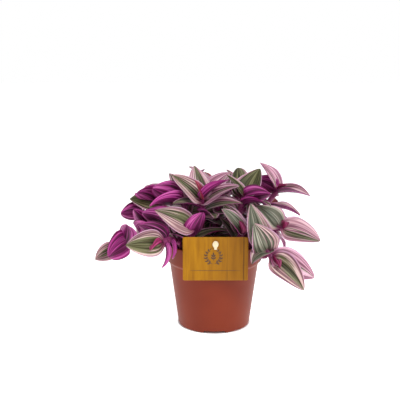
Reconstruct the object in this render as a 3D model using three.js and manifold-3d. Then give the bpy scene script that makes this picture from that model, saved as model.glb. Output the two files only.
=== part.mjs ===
// A tradescantia in a 12 cm plastic nursery pot, with a wood-look card on a plastic peg.
// Millimetres, +Z up, card facing -Y. Everything is built with the pot's axis on x = y = 0; the
// finished group is then moved so that the origin lies on the ground under the plant's middle.
import * as THREE from "three";
import Module from "manifold-3d";

const wasm = await Module();
wasm.setup();
const { Manifold, Mesh } = wasm;

// ---------- driving sizes ----------

const POT_PLACE = [9, -1]; // the pot's axis, seen from the middle of the whole plant
const GAP = 0.3; // clear space between pieces that would touch
const POT = {
  height: 106,
  rimRadius: 60,
  collarHeight: 22,
  collarTaper: 0.8,
  shoulderDrop: 2.5,
  bodyRadius: 55.5,
  baseRadius: 45.5,
  wall: 1.5,
  floor: 5,
  footWidth: 4.5,
  edgeRound: 2.5,
  sides: 36,
};
const DRAIN = { holes: 6, radius: 4, circle: 27 };
const NOTCH = { count: 4, width: 26, height: 3 };
const SOIL = { top: 94, lump: 1.1, rings: 1, sides: 16 };
const CARD = { width: 77, height: 53, thick: 0.8, low: 73.5, centreX: 0.6, back: -60.8, corner: 2 };
const PEG = {
  height: 118,
  strip: { width: 8, thick: 1.8, y: -47, foot: 58, top: 121 },
  pin: 2,
  head: { width: 7, height: 8.6, thick: 3 },
};
const STEM = { foot: 78, baseRadius: 2.9, tipRadius: 2.2, sides: 6, step: 16 };
const LEAF = {
  thick: 0.7,
  claspAngle: 62,
  claspReach: 0.1,
  wave: 0.03,
  length: 57,
  width: 30,
};
// How near the outer parts of the plant may come to each other, between points on their surfaces.
const ROOM = { leaves: 2.7, stems: 4.6, sameShoot: 0.7 };

const POT_COLOUR = 0xb4604a;
const SOIL_COLOUR = 0x3a2c22;
const CARD_COLOUR = 0xc08a2e;
const PEG_COLOUR = 0xf0e6cc;
const SHOOT_COLOUR = 0xa8688c;

// ---------- small vector helpers, on plain [x, y, z] ----------

const add = (a, b, k = 1) => [a[0] + k * b[0], a[1] + k * b[1], a[2] + k * b[2]];
const sub = (a, b) => add(a, b, -1);
const scaled = (a, k) => [a[0] * k, a[1] * k, a[2] * k];
const dot = (a, b) => a[0] * b[0] + a[1] * b[1] + a[2] * b[2];
const size = (a) => Math.sqrt(dot(a, a));
const unit = (a) => scaled(a, 1 / size(a));
const cross = (a, b) => [
  a[1] * b[2] - a[2] * b[1],
  a[2] * b[0] - a[0] * b[2],
  a[0] * b[1] - a[1] * b[0],
];
const radians = (degrees) => (degrees * Math.PI) / 180;

/** Seeded draws between 0 and 1. */
function seededDraws(seed) {
  let state = seed >>> 0;
  return () => {
    state = (state + 0x6d2b79f5) >>> 0;
    let t = state;
    t = Math.imul(t ^ (t >>> 15), t | 1);
    t ^= t + Math.imul(t ^ (t >>> 7), t | 61);
    return ((t ^ (t >>> 14)) >>> 0) / 4294967296;
  };
}

// ---------- stems: smooth routes through points chosen by eye ----------

/** A smooth curve through points, walked by its share of length from 0 to 1. */
class Route {
  constructor(points) {
    const first = add(scaled(points[0], 2), points[1], -1);
    const last = add(scaled(points.at(-1), 2), points.at(-2), -1);
    const through = [first, ...points, last];
    const spans = points.length - 1;
    const pieces = 64;
    this.dots = [];
    for (let k = 0; k <= pieces; k += 1) {
      const place = (k / pieces) * spans;
      const i = Math.min(Math.floor(place), spans - 1);
      this.dots.push(Route.curve(through.slice(i, i + 4), place - i));
    }
    this.walked = [0];
    for (let k = 1; k <= pieces; k += 1) {
      this.walked.push(this.walked[k - 1] + size(sub(this.dots[k], this.dots[k - 1])));
    }
    this.length = this.walked.at(-1);
  }

  /** Catmull-Rom curve between the middle two of four points. */
  static curve([a, b, c, d], f) {
    return b.map((_, i) => {
      const square = 2 * a[i] - 5 * b[i] + 4 * c[i] - d[i];
      const cube = 3 * b[i] - a[i] - 3 * c[i] + d[i];
      return 0.5 * (2 * b[i] + (c[i] - a[i]) * f + square * f * f + cube * f ** 3);
    });
  }

  at(share) {
    const target = share * this.length;
    let i = 0;
    while (i < this.dots.length - 2 && this.walked[i + 1] <= target) i += 1;
    const f = (target - this.walked[i]) / (this.walked[i + 1] - this.walked[i]);
    return add(scaled(this.dots[i], 1 - f), this.dots[i + 1], f);
  }

  direction(share) {
    return unit(sub(this.at(Math.min(share + 0.02, 1)), this.at(Math.max(share - 0.02, 0))));
  }
}

/** The middle of some dots and how far the farthest lies from it. */
function middleAndReach(dots) {
  const centre = scaled(dots.reduce((sum, p) => add(sum, p), [0, 0, 0]), 1 / dots.length);
  return { centre, reach: Math.max(...dots.map((p) => size(sub(p, centre)))) };
}

// ---------- leaves ----------

/** Share of the full half-width at u along the blade: round at the base, pointed at the tip. */
function outline(u) {
  const [rise, fall] = [0.45, 0.72];
  const widest = rise / (rise + fall);
  const full = widest ** rise * (1 - widest) ** fall;
  return ((u + 0.001) ** rise * (1 - u) ** fall) / full;
}

/** One blade: an arched midrib from base to tip, trough-shaped across, clasping the stem. */
class Blade {
  constructor(base, tip, face, width, arch, fold, phase) {
    const chord = sub(tip, base);
    this.length = size(chord);
    const along = scaled(chord, 1 / this.length);
    this.up = unit(add(face, along, -dot(face, along)));
    this.side = cross(along, this.up);
    this.base = base;
    this.tip = tip;
    this.bend = add(add(base, chord, 0.45), this.up, 2 * arch * this.length);
    this.width = width;
    this.fold = radians(fold);
    this.phase = phase;
    this.dots = this.surface(18, 8, 0.05).flat();
    Object.assign(this, middleAndReach(this.dots));
  }

  /** Rows of surface points, and the thickness direction at each if asked for. */
  surface(rows, columns, start = 0, withNormals = false) {
    const points = [];
    for (let i = 0; i <= rows; i += 1) {
      const row = [];
      for (let j = 0; j <= columns; j += 1) {
        row.push(this.point(start + ((1 - start) * i) / rows, -1 + (2 * j) / columns, withNormals));
      }
      points.push(row);
    }
    return points;
  }

  point(u, v, withNormal) {
    const { base, bend, tip } = this;
    const middle = add(add(scaled(base, (1 - u) ** 2), bend, 2 * u * (1 - u)), tip, u * u);
    const run = unit(add(scaled(sub(bend, base), 2 * (1 - u)), sub(tip, bend), 2 * u));
    const normal = cross(this.side, run);
    const half = (this.width / 2) * outline(u);
    const clasp = Math.exp(-((u / LEAF.claspReach) ** 2));
    const angle = this.fold + (radians(LEAF.claspAngle) - this.fold) * clasp;
    const soft = 0.3;
    const full = Math.sqrt(1 + soft ** 2) - soft;
    const rise = (Math.sqrt(v * v + soft * soft) - soft) / full;
    const ripple = Math.sin(2 * Math.PI * 1.3 * u + this.phase + v * 1.2) * v * v;
    const across = half * Math.cos(angle) * v;
    const height = half * Math.sin(angle) * rise + LEAF.wave * this.width * ripple;
    const place = add(add(middle, this.side, across), normal, height);
    if (!withNormal) return place;
    const slope = (Math.tan(angle) * v) / Math.sqrt(v * v + soft * soft) / full;
    return { place, out: unit(add(normal, this.side, -slope)) };
  }
}

// ---------- the shoots ----------

// Each shoot: its stem's route from inside the soil to its growing tip, then the leaves that show
// from the front. A leaf: share of the stem where it grows, tip, the way its upper side faces,
// width, arch of its midrib as a share of its length, and how far its halves fold up in degrees.
const SHOOTS = [
  {
    name: "right_front",
    route: [[31, -34, 78], [35, -41, 110], [46, -54, 120], [61, -64, 110], [67, -67, 100]],
    leaves: [
      [1.0, [74, -85, 96], [0.2, 0.6, 0.8], 14, 0.05, 52],
      [0.98, [102, -88, 70], [0.3, -0.85, 0.45], 35, 0.08, 24],
      [0.86, [44, -77, 147], [-0.1, -0.8, 0.6], 35, 0.1, 16],
      [0.78, [41, -58, 166], [-0.3, -0.8, 0.5], 29, 0.08, 20],
      [0.93, [118, -60, 76], [0.3, -0.8, 0.6], 33, 0.12, 18],
      [0.9, [41, -94, 103], [0, -0.4, 0.9], 26, 0.12, 22],
    ],
  },
  {
    name: "right_drooping",
    route: [[33, -20, 78], [46, -27, 112], [66, -36, 130], [82, -40, 131]],
    leaves: [
      [1.0, [82, -56, 143], [0.3, 0.8, 0.5], 14, 0.05, 48],
      [0.98, [125, -52, 119], [0.1, -0.75, 0.65], 34, 0.1, 16],
      [0.93, [50, -28, 157], [0.3, -0.7, 0.65], 33, 0.1, 18],
    ],
  },
  {
    name: "front_left",
    route: [[-20, -36, 78], [-26, -41, 108], [-27, -43, 132]],
    leaves: [
      [0.74, [-14, -66, 157], [-0.2, 0.95, 0.1], 30, 0.06, 26],
      [0.99, [-71, -54, 157], [-0.1, -0.75, 0.65], 31, 0.08, 16],
    ],
  },
  {
    name: "front_right",
    route: [[18, -34, 78], [24, -42, 108], [31, -49, 127]],
    leaves: [
      [0.97, [7, -56, 159], [0.4, -0.8, 0.5], 28, 0.05, 26],
      [1.0, [28, -60, 146], [0.6, 0.6, 0.3], 14, 0.03, 52],
    ],
  },
  {
    name: "left_front",
    route: [[-34, -28, 78], [-42, -38, 112], [-54, -51, 121], [-62, -58, 119]],
    leaves: [
      [1.0, [-75, -76, 114], [0.2, 0.8, 0.5], 15, 0.05, 48],
      [0.98, [-105, -72, 119], [0, -0.9, 0.45], 32, 0.1, 16],
      [0.9, [-89, -60, 141], [0, 1, 0.2], 26, 0.1, 22],
      [0.95, [-62, -82, 95], [0.5, 0.8, 0.2], 12, 0.14, 50],
      [0.83, [-50, -74, 103], [0.3, 0.9, 0.1], 11, 0.1, 46],
    ],
  },
  {
    name: "left_far",
    route: [[-40, -8, 78], [-54, -14, 116], [-82, -26, 123], [-108, -38, 112], [-118, -41, 106]],
    leaves: [
      [1.0, [-143, -48, 95], [0.1, -0.8, 0.6], 24, 0.1, 20],
      [0.8, [-124, -56, 102], [0, 0.95, 0.1], 34, 0.08, 14],
      [0.92, [-104, -50, 139], [0.2, 1, 0.2], 28, 0.1, 26],
      [0.72, [-78, -52, 139], [0.1, 1, 0.3], 30, 0.1, 20],
      [0.6, [-97, -39, 155], [0, 0.8, 0.5], 25, 0.08, 20],
    ],
  },
  {
    name: "centre_left",
    route: [[-12, -18, 78], [-14, -21, 120], [-16, -25, 164]],
    leaves: [
      [1.0, [-24, -38, 190], [0.9, -0.4, 0.3], 13, 0.02, 48],
      [0.98, [17, -49, 193], [-0.5, 0.6, 0.7], 24, 0.06, 26],
      [0.965, [-25, 2, 201], [0.2, -0.9, 0.3], 28, 0.06, 18],
      [0.95, [-52, -16, 192], [0.5, -0.6, 0.6], 29, 0.1, 28],
      [0.9, [30, -28, 181], [-0.2, -0.6, 0.8], 31, 0.1, 18],
      [0.96, [20, 0, 193], [-0.4, -0.6, 0.6], 27, 0.08, 20],
      [0.84, [-50, -45, 163], [0, -0.2, 1], 28, 0.1, 18],
      [0.8, [33, -46, 163], [0, -0.3, 1], 28, 0.1, 18],
      [0.74, [0, -64, 149], [0, -0.4, 0.9], 26, 0.12, 18],
      [0.36, [8, -41, 111], [0, -1, 0.2], 24, 0.08, 16],
    ],
  },
  {
    name: "centre_right",
    route: [[12, -10, 78], [25, -14, 120], [36, -16, 166]],
    leaves: [
      [0.96, [57, 8, 196], [-0.5, -0.9, 0.3], 33, 0.06, 18],
      [0.95, [67, -40, 174], [0.1, 0.9, 0.4], 29, 0.05, 26],
      [1.0, [27, 4, 186], [0.3, -0.9, 0.4], 9, 0.02, 50],
      [0.99, [15, -4, 190], [0.5, -0.7, 0.5], 15, 0.06, 40],
      [0.93, [32, 40, 192], [-0.1, -0.8, 0.5], 26, 0.1, 22],
      [0.86, [66, -46, 160], [0.1, 0.8, 0.5], 24, 0.1, 22],
    ],
  },
  {
    name: "right_back",
    route: [[24, 8, 78], [52, 7, 130], [79, 5, 170]],
    leaves: [
      [1.0, [89, 0, 177], [-0.6, 0, 0.8], 10, 0.02, 55],
      [0.97, [57, 14, 203], [0.6, -0.5, 0.6], 28, 0.06, 34],
      [0.94, [119, -6, 164], [0, -0.1, 1], 30, 0.08, 34],
      [0.99, [48, 16, 183], [0.3, 0.7, 0.6], 24, 0.08, 24],
    ],
  },
  {
    name: "right_middle",
    route: [[32, -4, 78], [50, -5, 118], [68, -8, 150]],
    leaves: [[0.98, [104, -28, 144], [0, -0.1, 1], 28, 0.1, 28]],
  },
  {
    name: "left_hanging",
    route: [[-34, -16, 78], [-42, -26, 112], [-52, -36, 136]],
    leaves: [[0.99, [-86, -50, 153], [0, 1, 0.2], 31, 0.1, 22]],
  },
  {
    name: "left_top",
    route: [[-26, -10, 78], [-31, -14, 120], [-38, -18, 162]],
    leaves: [
      [0.99, [-74, -42, 181], [0.1, 1, 0.2], 33, 0.1, 24],
      [0.92, [-76, -50, 160], [0, 1, 0.2], 31, 0.1, 24],
      [0.96, [-56, 10, 190], [0, -0.8, 0.6], 28, 0.1, 24],
    ],
  },
  {
    name: "left_middle",
    route: [[-38, 2, 78], [-52, -2, 122], [-70, -14, 160]],
    leaves: [
      [0.99, [-92, -46, 176], [0, 1, 0.3], 29, 0.1, 24],
      [0.94, [-104, -22, 164], [-0.2, -0.8, 0.6], 27, 0.08, 20],
      [0.96, [-80, 22, 174], [0, -0.8, 0.6], 28, 0.1, 24],
    ],
  },
  {
    name: "left_low",
    route: [[-42, 14, 78], [-57, 8, 122], [-88, -14, 146]],
    leaves: [[0.99, [-113, -36, 149], [0, 0.9, 0.4], 24, 0.1, 24]],
  },
  { name: "back_left", route: [[-20, 26, 78], [-28, 42, 122], [-42, 58, 150]], leaves: [] },
  {
    name: "back_middle",
    route: [[2, 30, 78], [2, 46, 124], [-4, 56, 164]],
    leaves: [[0.88, [40, 72, 181], [0, -1, 0.2], 24, 0.08, 16]],
  },
  {
    name: "back_right",
    route: [[22, 30, 78], [34, 46, 120], [50, 62, 146]],
    leaves: [[0.89, [68, 37, 147], [0, 0.7, 0.6], 24, 0.08, 16]],
  },
  { name: "back_low", route: [[0, 44, 78], [4, 50, 112], [8, 72, 128]], leaves: [] },
  {
    name: "back_high",
    route: [[0, 8, 78], [2, 14, 126], [8, 20, 168]],
    leaves: [
      [0.68, [38, -12, 140], [0, -0.6, 0.8], 29, 0.1, 16],
      [0.64, [-38, -6, 142], [0, -0.6, 0.8], 29, 0.1, 16],
      [0.5, [8, -34, 134], [0, -0.6, 0.8], 29, 0.1, 16],
      [0.52, [17, -12, 128], [0, -0.5, 0.9], 24, 0.1, 16],
    ],
  },
  { name: "back_far_left", route: [[-33, 24, 78], [-44, 34, 118], [-76, 50, 124]], leaves: [] },
  { name: "back_far_right", route: [[35, 20, 78], [47, 28, 118], [80, 40, 126]], leaves: [] },
  {
    name: "inner_left",
    route: [[-14, 6, 78], [-18, 12, 112], [-32, 20, 140]],
    leaves: [[0.59, [-3, 41, 124], [0, -1, 0.2], 26, 0.08, 16]],
  },
  { name: "side_left", route: [[-30, 12, 78], [-42, 14, 112], [-62, 22, 138]], leaves: [] },
  { name: "side_right", route: [[38, 4, 78], [48, 8, 112], [72, 22, 142]], leaves: [] },
  { name: "back_high_left", route: [[-12, 24, 78], [-16, 30, 120], [-26, 36, 162]], leaves: [] },
  {
    name: "back_high_right",
    route: [[12, 26, 78], [20, 30, 120], [34, 40, 164]],
    leaves: [[0.43, [10, 2, 124], [0, -1, 0.2], 24, 0.08, 16]],
  },
];

// ---------- growing the plant so that no two leaves meet ----------

// Steps tried along the line of sight from the front when a leaf has no room where it should be.
const STEPS_BACK = [0, -2.5, 2.5, -5, 5, -7.5, 7.5, -10, 10, -13, 13, -16, 16, -20, 20];
const TILTS = [0, 14, -14, 28, -28]; // degrees about the leaf's own length
const SIGHT = unit([0, 1, -0.21]);
// Turns about the stem, changes of spread in degrees, and sizes tried for the other leaves.
const TURNS = [
  [0, 0, 1], [20, 0, 1], [-20, 0, 1], [0, 15, 1], [0, -15, 1], [40, 0, 1], [-40, 0, 1],
  [30, 15, 1], [-30, 15, 1], [0, 0, 0.8], [30, -10, 0.8], [-30, -10, 0.8], [60, 0, 0.8],
  [-60, 0, 0.8], [0, 30, 0.8], [0, -20, 0.7], [45, 20, 0.7], [-45, 20, 0.7], [90, 0, 0.7],
  [-90, 0, 0.7], [0, 0, 0.6], [130, 0, 0.8], [-130, 0, 0.8], [60, 30, 0.7], [-60, 30, 0.7],
  [180, 10, 0.8], [60, -25, 0.6], [-60, -25, 0.6], [120, 20, 0.6], [-120, 20, 0.6],
];

const bodyRadius = (z) => {
  const shoulder = POT.height - POT.collarHeight;
  return POT.baseRadius + (POT.bodyRadius - POT.baseRadius) * Math.min(Math.max(z / shoulder, 0), 1);
};

/** True where a point keeps off the pot, soil, card, peg and ground. */
function offThePot([x, y, z]) {
  const r = Math.hypot(x, y);
  const wall = z > POT.height - POT.collarHeight ? POT.rimRadius : bodyRadius(z);
  const insideRim = POT.rimRadius - 6.5;
  if (z < 2) return false;
  if (z < POT.height + 2 && r > insideRim && r < wall + 2.2) return false;
  if (z < SOIL.top + 2.5 && r < wall + 2.2) return false;
  const beside = Math.abs(x - CARD.centreX);
  const top = CARD.low + CARD.height;
  if (beside < CARD.width / 2 + 2 && y > -68 && y < -57.5 && z > CARD.low - 2 && z < top + 2) {
    return false;
  }
  return !(beside < 6 && y > -60 && y < -43 && z < top);
}

const nearest = (some, others) => {
  let least = Infinity;
  for (const a of some) {
    for (const b of others) {
      const [x, y, z] = [a[0] - b[0], a[1] - b[1], a[2] - b[2]];
      least = Math.min(least, x * x + y * y + z * z);
    }
  }
  return Math.sqrt(least);
};

/** Outer limit for the leaves that are placed by rule: a low dome over the pot. */
function underTheDome([x, y, z]) {
  const r = Math.hypot(x / 102, y / (y < 0 ? 66 : 112));
  const dome = 104 + 88 * Math.sqrt(1 - Math.min(r, 1) ** 2);
  return z >= 88 && z <= 196 && r < 1 && z < dome + 14;
}

class Plant {
  constructor(shoots) {
    this.shoots = shoots.map(({ name, route, leaves }, order) => {
      const stem = new Route(route);
      const dots = Array.from({ length: 40 }, (_, k) => stem.at(0.12 + (0.88 * k) / 39));
      return { name, stem, dots, ...middleAndReach(dots), plan: leaves, order, blades: [] };
    });
    for (const shoot of this.shoots) this.placeShown(shoot);
    for (const shoot of this.shoots) this.fillBelow(shoot);
  }

  hasRoom(blade, shoot) {
    const all = blade.dots;
    if (!all.every(offThePot)) return false;
    const far = (other, room) =>
      size(sub(other.centre, blade.centre)) > other.reach + blade.reach + room;
    for (const other of this.shoots) {
      const own = other === shoot;
      const outer = own ? all.slice(Math.floor(all.length / 3)) : all;
      for (const rival of other.blades) {
        if (far(rival, ROOM.leaves)) continue;
        const its = own ? rival.dots.slice(Math.floor(rival.dots.length / 3)) : rival.dots;
        if (nearest(outer, its) < ROOM.leaves * (own ? ROOM.sameShoot : 1)) return false;
      }
      if (far(other, ROOM.stems)) continue;
      const offStem = own ? all.slice(Math.floor(all.length / 4)) : all;
      if (nearest(offStem, other.dots) < ROOM.stems) return false;
    }
    return true;
  }

  /** The leaves seen from the front, each moved a little along the line of sight if it must be. */
  placeShown(shoot) {
    const tries = [1, 0.88].flatMap((slimmer) =>
      STEPS_BACK.flatMap((step) => TILTS.map((tilt) => [slimmer, step, tilt]))
    );
    shoot.plan.forEach(([share, tip, face, width, arch, fold], i) => {
      const base = shoot.stem.at(share);
      for (const [slimmer, step, tilt] of tries) {
        const moved = add(tip, SIGHT, step);
        const aside = unit(cross(sub(moved, base), face));
        const turned = add(unit(face), aside, Math.sin(radians(tilt)));
        const blade = new Blade(base, moved, turned, width * slimmer, arch, fold, i * 1.7);
        if (this.hasRoom(blade, shoot)) {
          blade.shown = true;
          shoot.blades.push(blade);
          return;
        }
      }
    });
  }

  /** Leaves by turns on either side of the stem, from the lowest shown leaf or the tip down. */
  fillBelow(shoot) {
    const draw = seededDraws(1000 + shoot.order * 17);
    const bare = shoot.plan.every((leaf) => leaf[0] < 0.9);
    let around = draw() * 2 * Math.PI;
    let share = bare ? 1 : Math.min(...shoot.plan.map((leaf) => leaf[0])) - 0.06;
    while (share > 0.3) {
      const base = shoot.stem.at(share);
      if (base[2] < SOIL.top + 12) break;
      const run = shoot.stem.direction(share);
      const side = unit(Math.abs(run[2]) < 0.98 ? cross(run, [0, 0, 1]) : [1, 0, 0]);
      const over = cross(side, run);
      const age = (1 - share) * shoot.stem.length;
      const grown = bare ? Math.min(1, 0.38 + age / 22) : 1;
      const spread = bare ? 28 + Math.min(age / 30, 1) * 42 : 70;
      const turn = (draw() - 0.5) * 0.7;
      const vigour = 0.9 + 0.2 * draw();
      for (const [aside, wider, smaller] of TURNS) {
        const angle = around + turn + radians(aside);
        const lean = radians(spread + wider);
        const out = add(scaled(side, Math.cos(angle)), over, Math.sin(angle));
        const way = unit(add(scaled(run, Math.cos(lean)), out, Math.sin(lean)));
        const length = LEAF.length * vigour * grown * smaller;
        const tip = add(add(base, way, length), [0, 0, -0.1], length);
        if (!underTheDome(tip)) continue;
        const face = unit(add(add(scaled(run, 0.9), [0, 0, 0.7]), way, -0.1));
        const width = LEAF.width * vigour * (0.45 + 0.55 * grown) * smaller;
        const fold = 20 + 12 * (1 - grown);
        const blade = new Blade(base, tip, face, width, 0.1, fold, turn * 9);
        if (this.hasRoom(blade, shoot)) {
          shoot.blades.push(blade);
          break;
        }
      }
      around += Math.PI;
      share -= (4 + (Math.min(age, 30) / 30) * 5) / shoot.stem.length;
    }
  }
}

// ---------- solids ----------

/** A closed solid through rings of equal length, capped at the first and pointed at the last. */
function loft(rings, point, flipFrom = Infinity) {
  const count = rings[0].length;
  const dots = [...rings.flat(), point];
  const faces = [];
  const quad = (a, b, c, d) => faces.push([a, b, c], [a, c, d]);
  for (let i = 0; i + 1 < rings.length; i += 1) {
    for (let k = 0; k < count; k += 1) {
      const next = (k + 1) % count;
      const [low, high] = [i * count, (i + 1) * count];
      if (k < flipFrom) quad(low + k, low + next, high + next, high + k);
      else quad(low + next, high + next, high + k, low + k);
    }
  }
  const last = (rings.length - 1) * count;
  for (let k = 0; k < count; k += 1) {
    faces.push([last + k, last + ((k + 1) % count), dots.length - 1]);
  }
  for (let k = 0; k < count / 2 - 1; k += 1) {
    quad(count - 1 - k, count - 2 - k, k + 1, k);
  }
  const volume = faces.reduce((sum, [a, b, c]) => sum + dot(dots[a], cross(dots[b], dots[c])), 0);
  const outward = volume > 0 ? faces : faces.map(([a, b, c]) => [a, c, b]);
  return Manifold.ofMesh(
    new Mesh({
      numProp: 3,
      vertProperties: new Float32Array(dots.flat()),
      triVerts: new Uint32Array(outward.flat()),
    })
  );
}

function stemSolid(stem, extra = 0) {
  const dots = stem.dots.length - 1;
  const emerge = stem.dots.findIndex((dot) => dot[2] > SOIL.top + 3) / dots;
  const count = Math.max(3, Math.round((stem.length * (1 - emerge)) / STEM.step));
  const rings = [];
  for (let k = -1; k <= count; k += 1) {
    const share = k < 0 ? 0 : emerge + ((1 - emerge) * k) / count;
    const run = stem.direction(share);
    const side = unit(cross(run, [0, 1, 0.01]));
    const over = cross(side, run);
    const radius = STEM.baseRadius + (STEM.tipRadius - STEM.baseRadius) * share + extra;
    const centre = add(stem.at(share), run, k < 0 ? -extra : 0);
    const corners = Array.from({ length: STEM.sides }, (_, n) => (2 * Math.PI * n) / STEM.sides);
    rings.push(
      corners.map((a) => add(add(centre, side, radius * Math.cos(a)), over, radius * Math.sin(a)))
    );
  }
  return loft(rings, add(stem.at(1), stem.direction(1), 1.5 + extra));
}

function bladeSolid(blade, rows, columns) {
  const half = LEAF.thick / 2;
  const grid = blade.surface(rows, columns, 0, true).slice(0, rows);
  const rings = grid.map((row) => [
    ...row.map(({ place, out }) => add(place, out, half)),
    ...row.map(({ place, out }) => add(place, out, -half)).reverse(),
  ]);
  return loft(rings, blade.tip, columns);
}

function shootSolid({ stem, blades }) {
  const leaves = blades.map((blade) => {
    if (blade.shown && blade.width > 30) return bladeSolid(blade, 4, 4);
    return bladeSolid(blade, blade.length > 50 ? 4 : 3, 2);
  });
  const joined = Manifold.union([stemSolid(stem), ...leaves]).simplify(0.3);
  return withoutPockets(joined);
}

/** Fills any pocket sealed in where leaf bases wrap each other: keeps the outer skin only. */
function withoutPockets(solid) {
  const skins = solid.decompose().sort((a, b) => b.volume() - a.volume());
  return skins[0];
}

const box = ([x0, y0, z0], [x1, y1, z1]) =>
  Manifold.cube([x1 - x0, y1 - y0, z1 - z0]).translate([x0, y0, z0]);

const alongY = (solid) => solid.rotate([90, 0, 0]);

/** Quarter-circle points from one angle to another, in degrees. */
function arc([x, y], radius, from, to, pieces = 3) {
  return Array.from({ length: pieces + 1 }, (_, k) => {
    const a = radians(from + ((to - from) * k) / pieces);
    return [x + radius * Math.cos(a), y + radius * Math.sin(a)];
  });
}

function potSolid() {
  const { height, rimRadius, wall, baseRadius, edgeRound, floor } = POT;
  const collarFoot = height - POT.collarHeight;
  const shoulder = collarFoot - POT.shoulderDrop;
  const collarLow = rimRadius - POT.collarTaper;
  const footInside = baseRadius - edgeRound - POT.footWidth + 1;
  const underFloor = floor - 2;
  const profile = [
    [0, underFloor],
    [footInside, underFloor],
    [footInside, 0],
    ...arc([baseRadius - edgeRound, edgeRound], edgeRound, -90, 0),
    [POT.bodyRadius, shoulder],
    [collarLow, collarFoot],
    [rimRadius, height - 0.8],
    [rimRadius - 0.4, height],
    [rimRadius - wall, height],
    [collarLow - wall, collarFoot + 1],
    [POT.bodyRadius - wall, shoulder + 1],
    [bodyRadius(floor) - wall, floor],
    [0, floor],
  ];
  const shell = Manifold.revolve([profile], POT.sides);
  const cuts = [];
  for (let k = 0; k < NOTCH.count; k += 1) {
    const notch = box([-NOTCH.width / 2, -baseRadius - 5, -1], [NOTCH.width / 2, -35, NOTCH.height]);
    cuts.push(notch.rotate([0, 0, (360 / NOTCH.count) * k]));
  }
  for (let k = 0; k <= DRAIN.holes; k += 1) {
    const turn = radians((360 / DRAIN.holes) * (k + 0.5));
    const out = k < DRAIN.holes ? DRAIN.circle : 0;
    const hole = Manifold.cylinder(floor + 2, DRAIN.radius, DRAIN.radius, 12);
    cuts.push(hole.translate([out * Math.cos(turn), out * Math.sin(turn), -1]));
  }
  return shell.subtract(Manifold.union(cuts));
}

function soilSolid(stems) {
  const draw = seededDraws(77);
  const shoulder = POT.height - POT.collarHeight - POT.shoulderDrop;
  const inCollar = POT.rimRadius - POT.collarTaper - POT.wall - GAP;
  const circle = (radius, z, lump = 0) =>
    Array.from({ length: SOIL.sides }, (_, k) => {
      const a = (2 * Math.PI * k) / SOIL.sides;
      return [radius * Math.cos(a), radius * Math.sin(a), z + lump * (draw() - 0.5) * 2];
    });
  const foot = POT.floor + GAP;
  const rings = [
    circle(bodyRadius(POT.floor) - POT.wall - GAP, foot),
    circle(POT.bodyRadius - POT.wall - GAP - 0.2, shoulder + 1),
    circle(inCollar, POT.height - POT.collarHeight + 2),
    circle(inCollar, SOIL.top - 1),
  ];
  for (let k = 1; k <= SOIL.rings; k += 1) {
    rings.push(circle(inCollar * (1 - k / (SOIL.rings + 1)) + 3, SOIL.top, SOIL.lump));
  }
  const body = loft(rings, [0, 0, SOIL.top]);
  const { strip } = PEG;
  const slot = box(
    [CARD.centreX - strip.width / 2 - GAP, strip.y - strip.thick / 2 - GAP, strip.foot - GAP],
    [CARD.centreX + strip.width / 2 + GAP, strip.y + strip.thick / 2 + GAP, strip.top]
  );
  const holes = stems.map((stem) => stemSolid(stem, GAP + 0.1));
  return body.subtract(Manifold.union([slot, ...holes]));
}

function cardSolid() {
  const [w, h, r] = [CARD.width / 2, CARD.height / 2, CARD.corner];
  const corners = [[w - r, h - r, 0], [r - w, h - r, 90], [r - w, r - h, 180], [w - r, r - h, 270]];
  const outlinePoints = corners.flatMap(([x, y, turn]) => arc([x, y], r, turn, turn + 90));
  const middle = CARD.low + h;
  const sheet = alongY(Manifold.extrude([outlinePoints], CARD.thick));
  const card = sheet.translate([CARD.centreX, CARD.back, middle]);
  const hole = alongY(Manifold.cylinder(4, PEG.pin + GAP, PEG.pin + GAP, 20));
  return card.subtract(hole.translate([CARD.centreX, CARD.back + 1, PEG.height]));
}

function pegSolid() {
  const { strip, head, pin, height } = PEG;
  const x = CARD.centreX;
  const behindCard = CARD.back + GAP;
  const headBack = CARD.back - CARD.thick - GAP;
  const blade = box(
    [x - strip.width / 2, strip.y - strip.thick / 2, strip.foot],
    [x + strip.width / 2, strip.y + strip.thick / 2, strip.top]
  );
  const arm = box([x - 2.5, behindCard, height - 2.5], [x + 2.5, strip.y, height + 2.5]);
  const shaft = alongY(Manifold.cylinder(4, pin, pin, 20)).translate([x, behindCard + 1, height]);
  const egg = Manifold.sphere(1, 20)
    .scale([head.width / 2, head.thick / 2, head.height / 2])
    .translate([x, headBack - head.thick / 2, height]);
  const tab = box(
    [x - 2, headBack - 1.8, height - head.height / 2 - 2.2],
    [x + 2, headBack, height - head.height / 2 + 1.6]
  );
  return Manifold.union([blade, arm, shaft, egg, tab]).simplify(0.01);
}

// ---------- the group ----------

function node(name, solid, color) {
  const { vertProperties, triVerts } = solid.getMesh();
  const geometry = new THREE.BufferGeometry();
  geometry.setAttribute("position", new THREE.BufferAttribute(vertProperties, 3));
  geometry.setIndex(new THREE.BufferAttribute(triVerts, 1));
  const flat = geometry.toNonIndexed();
  flat.computeVertexNormals();
  const mesh = new THREE.Mesh(flat, new THREE.MeshStandardMaterial({ color, roughness: 0.6 }));
  mesh.name = name;
  return mesh;
}

const plant = new Plant(SHOOTS);
const group = new THREE.Group();
group.name = "potted_tradescantia";
group.add(node("pot", potSolid(), POT_COLOUR));
group.add(node("soil", soilSolid(plant.shoots.map(({ stem }) => stem)), SOIL_COLOUR));
group.add(node("label_card", cardSolid(), CARD_COLOUR));
group.add(node("label_peg", pegSolid(), PEG_COLOUR));
for (const shoot of plant.shoots) {
  group.add(node(`shoot_${shoot.name}`, shootSolid(shoot), SHOOT_COLOUR));
}

group.position.set(...POT_PLACE, 0);

export default group;
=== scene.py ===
"""The potted tradescantia's looks: leaves, stems, pot, soil, card and peg around the frame.

Sizes are millimetres on the pot's axis until a mesh is made; then they are moved to the pot's
place in the frame and turned to metres.
"""

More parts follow.
